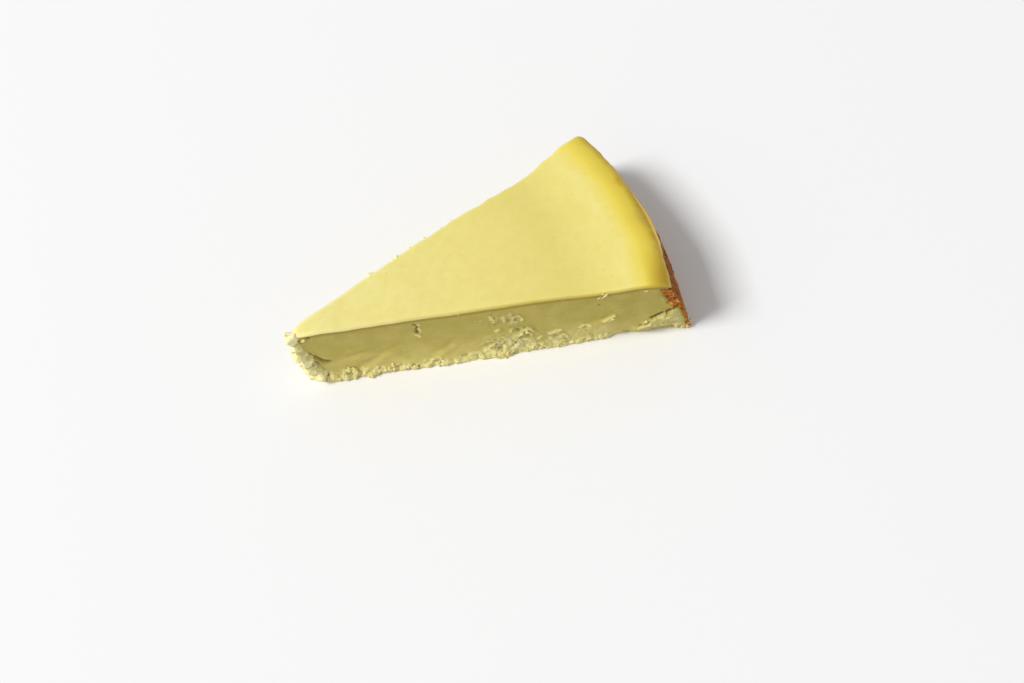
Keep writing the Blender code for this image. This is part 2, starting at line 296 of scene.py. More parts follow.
# %% The baked skin of the top
def baked_skin():
    """Baked matcha skin: smooth, satin, pale yellow, golden toward the rim where the oven reached it."""
    material, tree, shader = new_material("baked_matcha_skin")
    here = from_axis(tree)
    radius = distance_from_axis(tree, here)
    wander = spots(tree, here, 9.0, 0.0, 1.0)
    shifted = add(tree, "ShaderNodeMath", {0: wander, 1: 4 * MM, 2: radius}, operation="MULTIPLY_ADD")
    outward = add(tree, "ShaderNodeMapRange", {"Value": shifted, "From Max": BASE_RADIUS * MM})
    # Golden toward the rim; the darkest gold at the very edge is partly a deeper bake and partly painted
    # shade, where the shoulder rolls down away from the lamp
    skin = ramp(tree, outward, [
        (0.00, "#F2E89B"),
        (0.45, "#EEE28D"),
        (0.72, "#EBDD80"),
        (0.82, "#EEE185"),
        (0.862, "#F2E58C"),
        (0.905, "#F0DC56"),
        (0.938, "#E5CA3E"),
        (0.955, "#C3A232"),
    ])
    skin = tinted(tree, skin, "#E6D46C", spots(tree, here, 3.2, 0.35, 0.7), 0.3)
    skin = tinted(tree, skin, "#D6C257", spots(tree, here, 1.1, 0.66, 0.76), 0.45)

    # Deep gold in the front corner by the rim
    y = add(tree, "ShaderNodeSeparateXYZ", {"Vector": here}).outputs["Y"]
    front = add(tree, "ShaderNodeMapRange", {"Value": y, "From Min": 0.0, "From Max": -20 * MM})
    by_rim = add(tree, "ShaderNodeMapRange", {"Value": radius, "From Min": 115 * MM, "From Max": 121 * MM})
    by_cut = marked(tree, "inset", 14.0, 4.0)
    corner = add(tree, "ShaderNodeMath", {0: by_cut, 1: by_rim}, operation="MULTIPLY")
    corner = add(tree, "ShaderNodeMath", {0: corner, 1: front}, operation="MULTIPLY")
    skin = tinted(tree, skin, "#B4921C", corner, 0.9)

    # Olive on the front edge, as painted shade where it turns from the lamp, and cream on the back edge, as
    # painted light where it turns to it
    edge = tinted(tree, "#F6EDB6", "#BFA83C", front)
    skin = tinted(tree, skin, edge, marked(tree, "inset", 0.9, 0.0), 0.8)
    skin = tinted(tree, skin, "#C6AB78", marked(tree, "lip"))
    skin = tinted(tree, skin, "#F3ECBB", marked(tree, "torn"))
    skin = tinted(tree, skin, "#F1E7AE", marked(tree, "tip"))
    fine = add(tree, "ShaderNodeTexNoise", {"Vector": here, "Scale": 1 / (0.9 * MM)})
    feed(tree, shader, {
        "Base Color": skin,
        "Roughness": add(tree, "ShaderNodeMapRange", {"Value": wander, "To Min": 0.42, "To Max": 0.55}),
        "Normal": finest_relief(tree, fine, 0.02),
    })
    return material


SKIN = baked_skin()
print("made", SKIN.name)

# %% [markdown]
# ## The cuts
#
# A cut is bare paste. It is olive toward the top and the rim, pale where crumb is smeared, and paler where
# it is torn open, which is partly its own colour and partly painted light. Its hollows are darkened with
# painted shade, and it is brown where the knife went through the crust. One picture of a cut would do for
# one side. Here each colour is laid over the last by its own mark, so both cuts share the material.

# %% The bare curd of the cuts
def matcha_curd():
    """Bare matcha curd: a knife has dragged it smooth, and torn crumb is paler and rougher."""
    material, tree, shader = new_material("matcha_curd")
    here = from_axis(tree)

    # Olive toward the top and the rim, and softly blotched
    height = add(tree, "ShaderNodeSeparateXYZ", {"Vector": here}).outputs["Z"]
    wander = spots(tree, here, 7.0, 0.3, 0.7)
    shifted = add(tree, "ShaderNodeMath", {0: wander, 1: 5 * MM, 2: height}, operation="MULTIPLY_ADD")
    upward = add(tree, "ShaderNodeMapRange", {"Value": shifted, "From Max": CENTRE_HEIGHT * MM})
    cut = ramp(tree, upward, [(0.0, "#DFD17E"), (0.35, "#D8C86F"), (0.55, "#C3B251"), (1.0, "#BAA846")])
    outward = add(tree, "ShaderNodeMapRange", {
        "Value": distance_from_axis(tree, here),
        "From Min": 75 * MM,
        "From Max": 120 * MM,
    })
    cut = tinted(tree, cut, "#A8963A", outward, 0.5)
    cut = tinted(tree, cut, "#E2D796", spots(tree, here, 0.8, 0.35, 0.7), 0.12)
    cut = tinted(tree, cut, "#B3A448", spots(tree, here, 2.6, 0.35, 0.7), 0.3)
    cut = tinted(tree, cut, "#D2C474", spots(tree, here, 6.0, 0.4, 0.65), 0.3)
    cut = tinted(tree, cut, "#A48C2C", marked(tree, "below", 1.7, 0.8), 0.8)

    # Pale where the crumb is open, smeared or curled. Torn, crumbled and curled paste is partly its own
    # fresh colour and partly painted light, where its lumps would catch the lamp. Pits, slits and hollows
    # get painted shade.
    grain = spots(tree, here, 1.4, 0.33, 0.67, detail=3.0)
    torn = ramp(tree, grain, [(0.0, "#C0B158"), (0.3, "#D8CB7C"), (0.65, "#EAE09C"), (1.0, "#F6EEB8")])
    pale = ramp(tree, grain, [(0.0, "#E2D688"), (0.5, "#EEE49E"), (1.0, "#F7EFB6")])
    cut = tinted(tree, cut, torn, marked(tree, "torn"), 0.65)
    cut = tinted(tree, cut, pale, marked(tree, "foot"), 0.75)
    cut = tinted(tree, cut, pale, marked(tree, "tip"), 0.75)
    cut = tinted(tree, cut, "#DDD084", marked(tree, "smeared"), 0.75)
    cut = tinted(tree, cut, "#F1E7A2", marked(tree, "curl", 0.2, 1.0))
    # Painted shade in pits, slits and the hollows between lumps
    cut = tinted(tree, cut, "#867426", marked(tree, "hollow"))

    # Brown where the knife went through the crust
    toast = spots(tree, here, 1.5, 0.32, 0.68, detail=3.0)
    brown = ramp(tree, toast, [(0.0, "#7A3C08"), (0.35, "#A65C0A"), (0.7, "#CE821A"), (1.0, "#E8A446")])
    cut = tinted(tree, cut, "#A28A30", marked(tree, "crust", 0.0, 0.5), 0.7)
    cut = tinted(tree, cut, brown, marked(tree, "crust", 0.25, 0.85))

    # Rougher where it is crumbly
    crumbly = 0.0
    for name in ("torn", "foot", "tip"):
        crumbly = add(tree, "ShaderNodeMath", {0: crumbly, 1: marked(tree, name)}, operation="MAXIMUM")
    depth = add(tree, "ShaderNodeMath", {0: crumbly, 1: 0.5, 2: 0.12}, operation="MULTIPLY_ADD")
    fine = add(tree, "ShaderNodeTexNoise", {"Vector": here, "Scale": 1 / (0.9 * MM), "Detail": 3.0})
    rough = add(tree, "ShaderNodeMath", {0: depth, 1: fine}, operation="MULTIPLY")
    feed(tree, shader, {
        "Base Color": cut,
        "Roughness": 0.6,
        "Specular IOR Level": 0.35,
        "Subsurface Weight": 0.3,
        "Subsurface Scale": 0.6 * MM,
        "Normal": finest_relief(tree, rough, 0.2),
    })
    return material


CURD = matcha_curd()
print("made", CURD.name)

# %% [markdown]
# ## The wall
#
# The wall toasted against the tin in broad scales with finer grain on them. Just under the lip, and most in
# the groove there, it is darkened with painted shade, and it is paler in patches near its foot. Noise of a
# few sizes gives the scales and patches, because no two scales are alike.

# %% The toasted wall
def toasted_crust():
    """Toasted curd: dry, flaky and golden brown, with painted shade under the lip and pale where a flake is
    gone.
    """
    material, tree, shader = new_material("toasted_crust")
    here = from_axis(tree)
    scales = spots(tree, here, 4.0, 0.3, 0.7, detail=5.0)
    wall = ramp(tree, scales, [(0.0, "#6A340C"), (0.4, "#A0601E"), (0.75, "#C47E38"), (1.0, "#DCA058")])
    wall = tinted(tree, wall, "#8A4A16", spots(tree, here, 1.1, 0.4, 0.75), 0.45)
    # Painted shade in a band under the lip
    wall = tinted(tree, wall, "#602A08", marked(tree, "below", 6.0, 1.5), 0.8)
    height = add(tree, "ShaderNodeSeparateXYZ", {"Vector": here}).outputs["Z"]
    low = add(tree, "ShaderNodeMapRange", {"Value": height, "From Min": 7 * MM, "From Max": 1 * MM})
    patches = spots(tree, here, 2.5, 0.35, 0.6)
    low_patches = add(tree, "ShaderNodeMath", {0: low, 1: patches}, operation="MULTIPLY")
    wall = tinted(tree, wall, "#D8A048", low_patches)
    # Painted shade in the groove under the lip
    wall = tinted(tree, wall, "#4A2006", marked(tree, "groove"))
    wall = tinted(tree, wall, "#C6AB78", marked(tree, "lip"))
    fine = add(tree, "ShaderNodeTexNoise", {"Vector": here, "Scale": 1 / (0.7 * MM)})
    feed(tree, shader, {
        "Base Color": wall,
        "Roughness": 0.75,
        "Specular IOR Level": 0.2,
        "Subsurface Weight": 0.12,
        "Normal": finest_relief(tree, fine, 0.05),
    })
    return material


CRUST = toasted_crust()
print("made", CRUST.name)

# %% [markdown]
# ## The base
#
# The base set flat against paper and dried a little. The picture hides it, so it gets a quiet finish: the
# curd's own colour, slightly browner, with a few pores.

# %% The underside
def oven_base():
    """The underside: curd set flat against the tin's paper, a little drier and browner than the cuts."""
    material, tree, shader = new_material("oven_base_curd")
    here = from_axis(tree)
    base = ramp(tree, spots(tree, here, 6.0, 0.3, 0.7, detail=4.0), [(0.0, "#C2A552"), (1.0, "#D8C378")])
    base = tinted(tree, base, "#9A7A34", spots(tree, here, 1.4, 0.62, 0.72), 0.5)
    for name in ("foot", "tip"):
        base = tinted(tree, base, "#E6DCA0", marked(tree, name))
    feed(tree, shader, {"Base Color": base, "Roughness": 0.7})
    return material


BASE = oven_base()
print("made", BASE.name)

# %% [markdown]
# ## A block with cells where they are needed
#
# The wedge starts as a unit block: x runs from tip to rim, y from the front cut to the back cut, and z
# from base to top. It could be six separate grids, but one cut block is closed from the start. Cells
# are a third to half a millimetre on the cuts and the wall, where crumb shows, and larger on the smooth
# top. Each face keeps a number for its side, from which it later gets its finish.

# %% Cut the block
ALONG_CELLS, ACROSS_CELLS, UP_CELLS = 96, 36, 82
REFINING = 4
RIM_CELLS = 3
END_CROWDING = 0.5
CUT_CROWDING = 1.7
CUT_SIDE, TOP_SIDE, WALL_SIDE, BASE_SIDE = range(4)
NEARLY = 1e-6


def cut_into_cells(bm, axis, cells, keep=None):
    """Cut the block's edges that run along one axis into equal cells, all of them or those kept."""
    edges = []
    for edge in bm.edges:
        run = edge.verts[1].co - edge.verts[0].co
        if abs(run[axis]) > NEARLY and (keep is None or keep(edge)):
            edges.append(edge)
    bmesh.ops.subdivide_edges(bm, edges=edges, cuts=cells - 1, use_grid_fill=True)


def near_cut_or_rim(edge):
    """True for an edge within a cell of a cut, or within a few cells of the rim."""
    one, few = 1 / ACROSS_CELLS + NEARLY, RIM_CELLS / ALONG_CELLS + NEARLY
    by_cut = all(min(vert.co.y, 1 - vert.co.y) < one for vert in edge.verts)
    return by_cut or all(1 - vert.co.x < few for vert in edge.verts)


def near_rim(edge):
    """True for an edge within a cell of the rim."""
    return all(1 - vert.co.x < 1 / ALONG_CELLS + NEARLY for vert in edge.verts)


def crowd_ends(share):
    """Crowd cells toward both ends."""
    return share + END_CROWDING * (0.5 - 0.5 * math.cos(math.pi * share) - share)


def crowd_cuts(share):
    """Crowd cells strongly toward both cuts."""
    near = 0.5 * (2 * min(share, 1 - share)) ** CUT_CROWDING
    return near if share < 0.5 else 1 - near


def block_mesh():
    """The unit block, cut into cells, with each face's side kept as a number."""
    bm = bmesh.new()
    bmesh.ops.create_cube(bm, size=1.0)
    bmesh.ops.translate(bm, verts=bm.verts, vec=(0.5, 0.5, 0.5))
    for axis, cells in enumerate((ALONG_CELLS, ACROSS_CELLS, UP_CELLS)):
        cut_into_cells(bm, axis, cells)
    cut_into_cells(bm, 0, REFINING, keep=near_cut_or_rim)
    cut_into_cells(bm, 1, REFINING, keep=near_rim)
    bmesh.ops.poke(bm, faces=[face for face in bm.faces if len(face.verts) > 4])
    bm.normal_update()
    side = bm.faces.layers.int.new("side")
    for face in bm.faces:
        x, _, z = face.normal
        face[side] = TOP_SIDE if z > 0.5 else BASE_SIDE if z < -0.5 else WALL_SIDE if x > 0.5 else CUT_SIDE
    for vert in bm.verts:
        vert.co.x = crowd_ends(vert.co.x)
        vert.co.y = crowd_cuts(vert.co.y)
    mesh = bpy.data.meshes.new("block")
    bm.to_mesh(mesh)
    bm.free()
    return mesh


block = block_mesh()
print("block:", len(block.vertices), "points,", len(block.polygons), "faces")

# %% [markdown]
# ## Bend the block into a wedge
#
# A wedge of a round cake follows a rule: across the block the angle turns, along it the radius grows, and
# the wall's radius shrinks with height. A Geometry Nodes tree states that rule once, with the sizes as
# named inputs, so another cake only needs other numbers. The tip is broken back from the axis, more so
# below a step.

# %% The wedge tree
def wedge_tree():
    """The tree that bends a unit block into a wedge of a round cake."""
    tree, given = open_tree("wedge_of_a_round_cake", {
        "Base radius": BASE_RADIUS,
        "Rim radius": RIM_RADIUS,
        "Wall bulge": WALL_BULGE,
        "Half angle": HALF_ANGLE,
        "Height": CENTRE_HEIGHT,
        "Tip back at top": TIP_BACK_TOP,
        "Tip back below": TIP_BACK_LOW,
        "Tip step height": TIP_STEP_HEIGHT,
        "Tip step blur": TIP_STEP_BLUR,
    })
    block_point = add(tree, "GeometryNodeInputPosition")
    share = add(tree, "ShaderNodeSeparateXYZ", {"Vector": block_point}).outputs
    across = add(tree, "ShaderNodeMapRange", {"Value": share["Y"], "To Min": -1.0})
    angle = add(tree, "ShaderNodeMath", {0: across, 1: given["Half angle"]}, operation="MULTIPLY")
    height = add(tree, "ShaderNodeMath", {0: share["Z"], 1: given["Height"]}, operation="MULTIPLY")

    # Where the tip starts at this height
    step, blur = given["Tip step height"], given["Tip step blur"]
    step_top = add(tree, "ShaderNodeMath", {0: step, 1: blur})
    step_low = add(tree, "ShaderNodeMath", {0: step, 1: blur}, operation="SUBTRACT")
    start = add(tree, "ShaderNodeMapRange", {
        "Value": height,
        "From Min": step_low,
        "From Max": step_top,
        "To Min": given["Tip back below"],
        "To Max": given["Tip back at top"],
    }, interpolation_type="SMOOTHSTEP")

    # Where the wall ends it
    lean = add(tree, "ShaderNodeMix", {
        "Factor": share["Z"],
        "A": given["Base radius"],
        "B": given["Rim radius"],
    })
    half_turn = add(tree, "ShaderNodeMath", {0: share["Z"], 1: math.pi}, operation="MULTIPLY")
    belly = add(tree, "ShaderNodeMath", {0: half_turn}, operation="SINE")
    end = add(tree, "ShaderNodeMath", {0: belly, 1: given["Wall bulge"], 2: lean}, operation="MULTIPLY_ADD")

    radius = add(tree, "ShaderNodeMix", {"Factor": share["X"], "A": start, "B": end})
    cosine = add(tree, "ShaderNodeMath", {0: angle}, operation="COSINE")
    sine = add(tree, "ShaderNodeMath", {0: angle}, operation="SINE")
    x = add(tree, "ShaderNodeMath", {0: radius, 1: cosine}, operation="MULTIPLY")
    y = add(tree, "ShaderNodeMath", {0: radius, 1: sine}, operation="MULTIPLY")
    place = add(tree, "ShaderNodeCombineXYZ", {"X": x, "Y": y, "Z": height})
    wedge = add(tree, "GeometryNodeSetPosition", {"Geometry": given["Geometry"], "Position": place})
    close_tree(tree, wedge, [CURD, SKIN, CRUST, BASE], side="side")
    return tree


wedge = run_tree(wedge_tree(), block, "wedge")
print("wedge:", [round(v, 1) for v in wedge.vertices[0].co], "is its first point, in mm from the axis")

# %% [markdown]
# ## What the oven did to the top
#
# The top is not flat. It sags at the tip, sinks in a shallow ring, and rolls down over a soft shoulder at
# the rim. At the very edge stands a thin lip where the batter clung to the tin, with a groove under it.
# These are sums of smooth humps and steps, which is the easiest way to say a gentle form with a few sizes.

# %% Smooth steps, humps and lumps
def rise(start, end, value):
    """Rise smoothly from 0 at start to 1 at end."""
    share = min(1.0, max(0.0, (value - start) / (end - start)))
    return share * share * (3 - 2 * share)


def fall(start, end, value):
    """Fall smoothly from 1 at start to 0 at end."""
    return 1 - rise(start, end, value)


def hump(value, centre, width):
    """A smooth hump of height 1 at its centre."""
    return math.exp(-((value - centre) / width) ** 2)


def lumpy(along, up, size, layer):
    """Smooth noise between about -1 and 1, with lumps of one size. Each layer shows other lumps."""
    return noise.noise(Vector((along / size, up / size, layer)))


def curds(along, up, size, layer):
    """Rounded lumps side by side with creases between them, about -0.5 to 0.5."""
    distances, _ = noise.voronoi(Vector((along / size, up / size, layer)))
    return 0.5 - distances[0]


print("a hump at its centre:", hump(3.0, 3.0, 1.0))

# %% The height of the top, and the lip at its edge
TIP_SAG, TIP_SAG_REACH = 1.0, 13.0
RING_SAG, RING_RADIUS, RING_WIDTH = 1.1, 98.0, 13.0
SHOULDER_DROP, SHOULDER_WIDTH, SHOULDER_TURN = 2.0, 8.0, 0.97
SKIN_ROUND, SKIN_DROP = 1.3, 0.85
SKIN_WAVE, SKIN_WAVE_LENGTH, SKIN_LAYER = 0.18, 17.0, 120.0
LIP_RISE, LIP_WIDTH, LIP_IN, LIP_OUT = 0.16, 0.28, 0.2, 0.45
GROOVE_DOWN, GROOVE_DEPTH, GROOVE_WIDTH = 1.6, 0.8, 0.8
LIP_LAYER = 131.0
LIP_MEAN, LIP_PATCH, LIP_PATCH_LENGTH, LIP_NICK, LIP_NICK_LENGTH = 0.75, 0.5, 9.0, 0.3, 2.2
LIP_RUNS_OUT = (math.radians(8.0), math.radians(15.0))


def top_height(radius, angle):
    """Height of the skin: sunk at the tip and in a ring, rolled over at the shoulder."""
    height = CENTRE_HEIGHT
    height += SKIN_WAVE * lumpy(radius, angle * radius, SKIN_WAVE_LENGTH, SKIN_LAYER)
    height -= TIP_SAG * fall(0.0, TIP_SAG_REACH, radius)
    height -= RING_SAG * hump(radius, RING_RADIUS, RING_WIDTH)
    rolled = SHOULDER_TURN * min(1.0, max(0.0, (radius - RIM_RADIUS) / SHOULDER_WIDTH + 1))
    return height - SHOULDER_DROP * (1 - math.sqrt(1 - rolled * rolled))


def skin_edge(to_cut):
    """How far the skin has dropped at a distance from a cut: a quarter round, steepest at the cut."""
    left = 1 - min(1.0, to_cut / SKIN_ROUND)
    return SKIN_DROP * (1 - math.sqrt(1 - left * left))


def lip_strength(angle):
    """The lip comes and goes along the rim, and all but fades out toward the back corner."""
    around = angle * RIM_RADIUS
    strength = LIP_MEAN + LIP_PATCH * lumpy(around, 0.0, LIP_PATCH_LENGTH, LIP_LAYER)
    strength += LIP_NICK * lumpy(around, 0.0, LIP_NICK_LENGTH, LIP_LAYER)
    return max(0.0, strength) * fall(*LIP_RUNS_OUT, angle)


def lip_relief(to_rim, angle):
    """How far the lip stands above the top."""
    return LIP_RISE * lip_strength(angle) * hump(to_rim, LIP_IN, LIP_WIDTH)


middle, rim = (round(top_height(radius, 0.0), 2) for radius in (60.0, 122.0))
print("top at the middle:", middle, "and by the rim:", rim)

# %% [markdown]
# ## What the knife left on the cuts
#
# The knife dragged the paste, so each cut has faint slanting lines and a few deeper creases. Where it
# stuck, it pulled crumb out, which left torn patches and pits. Beside them it smeared paste over and
# raised it in short curls. Each mark is a named place on the cut, given as its distance from the axis and
# its height, and a function for each kind turns the list to relief. Real torn crumb could be scanned, but
# a list keeps the marks where they are on this slice and needs no stored surface.

# %% Marks of the front cut
Tear = namedtuple("Tear", "along height half_length half_height depth")
Pit = namedtuple("Pit", "along height size depth")
HIGH_TEARS = [
    Tear(41.7, 21.6, 0.8, 3.2, 0.2),
    Tear(66.0, 20.3, 1.6, 3.2, 0.30),
    Tear(71.5, 19.5, 3.2, 4.0, 0.45),
]
LOW_TEARS = [
    Tear(74.5, 10.5, 4.0, 4.0, 0.7),
    Tear(70.0, 6.0, 8.0, 4.2, 0.6),
    Tear(84.0, 5.0, 3.2, 4.0, 0.35),
    Tear(126.5, 3.6, 3.4, 3.6, 0.45),
]
FRONT_TEARS = HIGH_TEARS + LOW_TEARS
FRONT_SMEARS = [
    Tear(90.0, 4.4, 6.5, 3.8, 0.25),
    Tear(99.5, 5.6, 6.0, 3.6, 0.20),
]
FRONT_PITS = [Pit(*row) for row in (
    (65.9, 20.1, 0.5, 0.7), (66.7, 17.7, 0.4, 0.6), (72.6, 21.3, 0.6, 1.0), (72.9, 18.7, 0.6, 0.9),
    (76.8, 10.4, 0.7, 0.9), (74.3, 7.9, 0.5, 0.8), (72.6, 5.2, 0.7, 0.9), (67.3, 3.4, 0.7, 1.0),
    (88.8, 3.4, 0.5, 0.6), (4.3, 23.7, 0.9, 1.2), (7.8, 25.2, 0.7, 1.0), (8.1, 2.9, 0.7, 1.1),
    (16.6, 2.2, 0.6, 1.2), (23.2, 1.9, 0.5, 0.9), (100.1, 20.3, 0.4, 0.4),
)]
FRONT_CREASES = [
    ((10.0, 9.0), (30.0, 13.8)),
    ((19.0, 3.0), (35.0, 14.0)),
    ((44.5, 5.4), (55.0, 12.8)),
    ((94.0, 9.9), (105.0, 13.5)),
]
Curl = namedtuple("Curl", "half_width proud points")
FRONT_CURLS = [
    Curl(0.55, 0.9, [(73.1, 8.4), (74.4, 10.3), (75.6, 12.3), (77.3, 12.6), (78.4, 11.2)]),
    Curl(0.55, 0.7, [(69.2, 8.4), (69.9, 6.4), (71.4, 5.4)]),
    Curl(0.50, 0.8, [(75.2, 7.6), (76.6, 7.2), (78.4, 6.9)]),
    Curl(0.45, 0.5, [(65.2, 23.0), (65.8, 21.6), (66.4, 20.6)]),
    Curl(0.40, 0.5, [(69.6, 21.9), (69.8, 20.4), (69.6, 19.0)]),
    Curl(0.40, 0.5, [(74.0, 21.2), (74.7, 20.5)]),
    Curl(0.50, 0.4, [(75.3, 19.4), (75.2, 18.2)]),
    Curl(0.50, 0.5, [(66.6, 13.6), (67.6, 14.9)]),
    Curl(0.50, 0.5, [(71.0, 12.0), (71.6, 13.7)]),
    Curl(0.55, 0.6, [(62.0, 3.4), (64.0, 5.4), (66.4, 6.6), (67.0, 4.6)]),
    Curl(0.50, 0.5, [(64.4, 2.4), (66.0, 3.6)]),
    Curl(0.50, 0.6, [(79.8, 5.6), (81.2, 7.4)]),
    Curl(0.50, 0.6, [(83.6, 7.0), (84.6, 8.2), (86.0, 9.2), (87.4, 9.2)]),
    Curl(0.55, 0.6, [(84.5, 4.6), (85.2, 3.0), (87.0, 2.6)]),
    Curl(0.50, 0.6, [(88.0, 6.6), (89.4, 4.8), (88.4, 2.6)]),
    Curl(0.55, 0.8, [(93.6, 9.0), (95.0, 10.0)]),
    Curl(0.60, 0.7, [(95.8, 9.6), (97.2, 9.2)]),
    Curl(0.50, 0.5, [(94.6, 7.6), (96.4, 8.0)]),
    Curl(0.45, 0.9, [(101.4, 10.8), (103.4, 12.0), (105.3, 13.3)]),
    Curl(0.32, 0.4, [(42.9, 24.2), (43.2, 23.4)]),
    Curl(0.32, 0.4, [(42.6, 21.6), (42.9, 20.4)]),
    Curl(0.50, 0.6, [(41.0, 18.8), (41.9, 18.2), (42.2, 17.2)]),
    Curl(0.45, 0.5, [(112.6, 3.8), (114.6, 5.0), (116.6, 6.2)]),
    Curl(0.45, 0.4, [(121.0, 8.4), (123.4, 9.4)]),
]
print(len(FRONT_TEARS), "tears,", len(FRONT_PITS), "pits and", len(FRONT_CURLS), "curls on the front cut")

# %% Marks of the back cut, which the picture hides
BACK_TEARS = [
    Tear(30.0, 8.0, 7.0, 3.5, 0.8),
    Tear(58.0, 18.5, 4.0, 5.0, 0.9),
    Tear(96.0, 7.0, 9.0, 4.0, 1.0),
]
BACK_PITS = [Pit(*row) for row in (
    (29.5, 6.5, 0.8, 0.9), (58.3, 18.8, 0.7, 0.9), (60.1, 15.9, 0.5, 0.6), (95.0, 5.2, 0.8, 1.0),
)]
BACK_CREASES = [
    ((16.0, 13.0), (34.0, 16.0)),
    ((70.0, 9.0), (84.0, 14.0)),
    ((40.0, 5.5), (52.0, 9.0)),
]
BACK_CURLS = [
    Curl(0.60, 0.8, [(27.0, 8.5), (30.0, 10.0), (32.0, 10.0)]),
    Curl(0.55, 0.7, [(56.5, 16.0), (57.5, 20.5)]),
    Curl(0.60, 0.8, [(58.6, 21.3), (60.3, 20.0), (60.5, 17.5)]),
    Curl(0.60, 0.8, [(92.0, 6.0), (95.0, 8.0), (98.0, 8.5)]),
    Curl(0.60, 0.8, [(100.0, 5.0), (101.0, 7.2), (103.5, 8.0)]),
]
print(len(BACK_TEARS), "tears,", len(BACK_PITS), "pits and", len(BACK_CURLS), "curls on the back cut")

# %% Turn the marks to relief
CURD_SIZE = 3.2
CREST_SPACING, CREST_LENGTH, CREST_SLANT = 1.5, 2.8, math.radians(50.0)
CREST_RAISED, CREST_SHARPNESS = 0.45, 2.2
TEAR_RAGGED, TEAR_EDGE = ((2.4, 0.45), (1.0, 0.25)), (0.35, 0.75)
DRAG_DEPTH, DRAG_SPACING, DRAG_LENGTH, DRAG_SLANT = 0.09, 1.7, 16.0, math.radians(14.0)
BLOTCH_DEPTH, BLOTCH_SIZE = 0.14, 5.5
CREASE_DEPTH, CREASE_WIDTH = 0.55, 1.5
RIDGE_SHARE, RIDGE_BELOW = 0.6, 1.8
CREASE_WANDER, CREASE_WANDER_LENGTH = 1.6, 7.0
LINE_SWELLS, LINE_FADES = (-0.2, 0.4), (0.6, 1.15)
CURL_WANDER, CURL_WANDER_LENGTH = 0.4, 1.4
REACH = 3.0                 # beyond this many widths a mark adds nothing

# Each kind of relief on each side has lumps of its own: a side's number plus a kind's number
FRONT_LAYER, BACK_LAYER, CRUST_LAYER = 0.0, 40.0, 80.0
WAVE_LAYER, TORN_LAYER, FOOT_LAYER, BREAK_LAYER, FLAKE_LAYER, GRAIN_LAYER = 3.7, 7.4, 11.1, 14.8, 18.5, 22.2
DRAG_LAYER, BAND_LAYER, EDGE_LAYER = 26.0, 29.7, 33.4


def seen_from_line(along, up, line):
    """Height of a place over a line on the cut, and its weight: 1 beside the line, 0 past it."""
    (x0, y0), (x1, y1) = line
    dx, dy = x1 - x0, y1 - y0
    length = math.hypot(dx, dy)
    share = ((along - x0) * dx + (up - y0) * dy) / length ** 2
    above = ((up - y0) * dx - (along - x0) * dy) / length
    return above, rise(*LINE_SWELLS, share) * fall(*LINE_FADES, share)


def slanting(along, height, slant, length, spacing, layer):
    """Noise that runs in slanting streaks of one length and spacing."""
    across_streaks = height * math.cos(slant) - along * math.sin(slant)
    along_streaks = along * math.cos(slant) + height * math.sin(slant)
    return noise.noise(Vector((along_streaks / length, across_streaks / spacing, layer)))


def torn(along, height, tears, layer):
    """How torn a place is, from 0 to 1, and the relief there: thin slanting crests between hollows."""
    streaks = slanting(along, height, CREST_SLANT, CREST_LENGTH, CREST_SPACING, layer)
    crests = CREST_RAISED - CREST_SHARPNESS * abs(streaks)
    ragged = sum(strength * lumpy(along, height, size, layer) for size, strength in TEAR_RAGGED)
    most, relief = 0.0, 0.0
    for tear in tears:
        patch = hump(along, tear.along, tear.half_length) * hump(height, tear.height, tear.half_height)
        relief += patch * tear.depth * crests
        most = max(most, patch)
    return rise(*TEAR_EDGE, most + ragged * min(1.0, 2 * most)), relief


def pitted(along, height, pits):
    """How much a place lies in a pit, which sets its painted shade, and how deep the pit is there."""
    most, relief = 0.0, 0.0
    for pit in pits:
        distance = math.hypot(along - pit.along, height - pit.height)
        if distance < REACH * pit.size:
            here = hump(distance, 0.0, pit.size)
            relief = max(relief, pit.depth * here)
            most = max(most, here)
    return most, relief


def dragged(along, height, creases, layer):
    """Faint slanting drag lines all over, and deeper creases, each with a ridge under it."""
    relief = DRAG_DEPTH * slanting(along, height, DRAG_SLANT, DRAG_LENGTH, DRAG_SPACING, layer)
    relief += BLOTCH_DEPTH * lumpy(along, height, BLOTCH_SIZE, layer)
    for line in creases:
        above, beside = seen_from_line(along, height, line)
        above += CREASE_WANDER * lumpy(along, height, CREASE_WANDER_LENGTH, layer)
        groove = hump(above, 0.0, CREASE_WIDTH)
        ridge = hump(above, -RIDGE_BELOW * CREASE_WIDTH, CREASE_WIDTH)
        relief += CREASE_DEPTH * beside * (RIDGE_SHARE * ridge - groove)
    return relief


def away_from(along, height, start, end):
    """Distance of a place from a line on the cut."""
    dx, dy = end[0] - start[0], end[1] - start[1]
    share = ((along - start[0]) * dx + (height - start[1]) * dy) / (dx * dx + dy * dy)
    share = min(1.0, max(0.0, share))
    return math.hypot(along - start[0] - share * dx, height - start[1] - share * dy)


def curled(along, height, curls):
    """Curls of paste that the knife raised: how far they stand out, and how pale a place is, partly its own
    colour and partly painted light.
    """
    along += CURL_WANDER * lumpy(along, height, CURL_WANDER_LENGTH, TORN_LAYER)
    height += CURL_WANDER * lumpy(height, along, CURL_WANDER_LENGTH, EDGE_LAYER)
    relief, pale = 0.0, 0.0
    for curl in curls:
        (x0, y0), (x1, y1) = curl.points[0], curl.points[-1]
        reach = REACH * curl.half_width + math.hypot(x1 - x0, y1 - y0)
        if abs(along - x0) > reach or abs(height - y0) > reach:
            continue
        for start, end in zip(curl.points, curl.points[1:]):
            here = hump(away_from(along, height, start, end), 0.0, curl.half_width)
            relief, pale = max(relief, curl.proud * here), max(pale, here)
    return relief, pale


print("a point in a pit:", [round(v, 2) for v in pitted(75.0, 10.2, FRONT_PITS)])

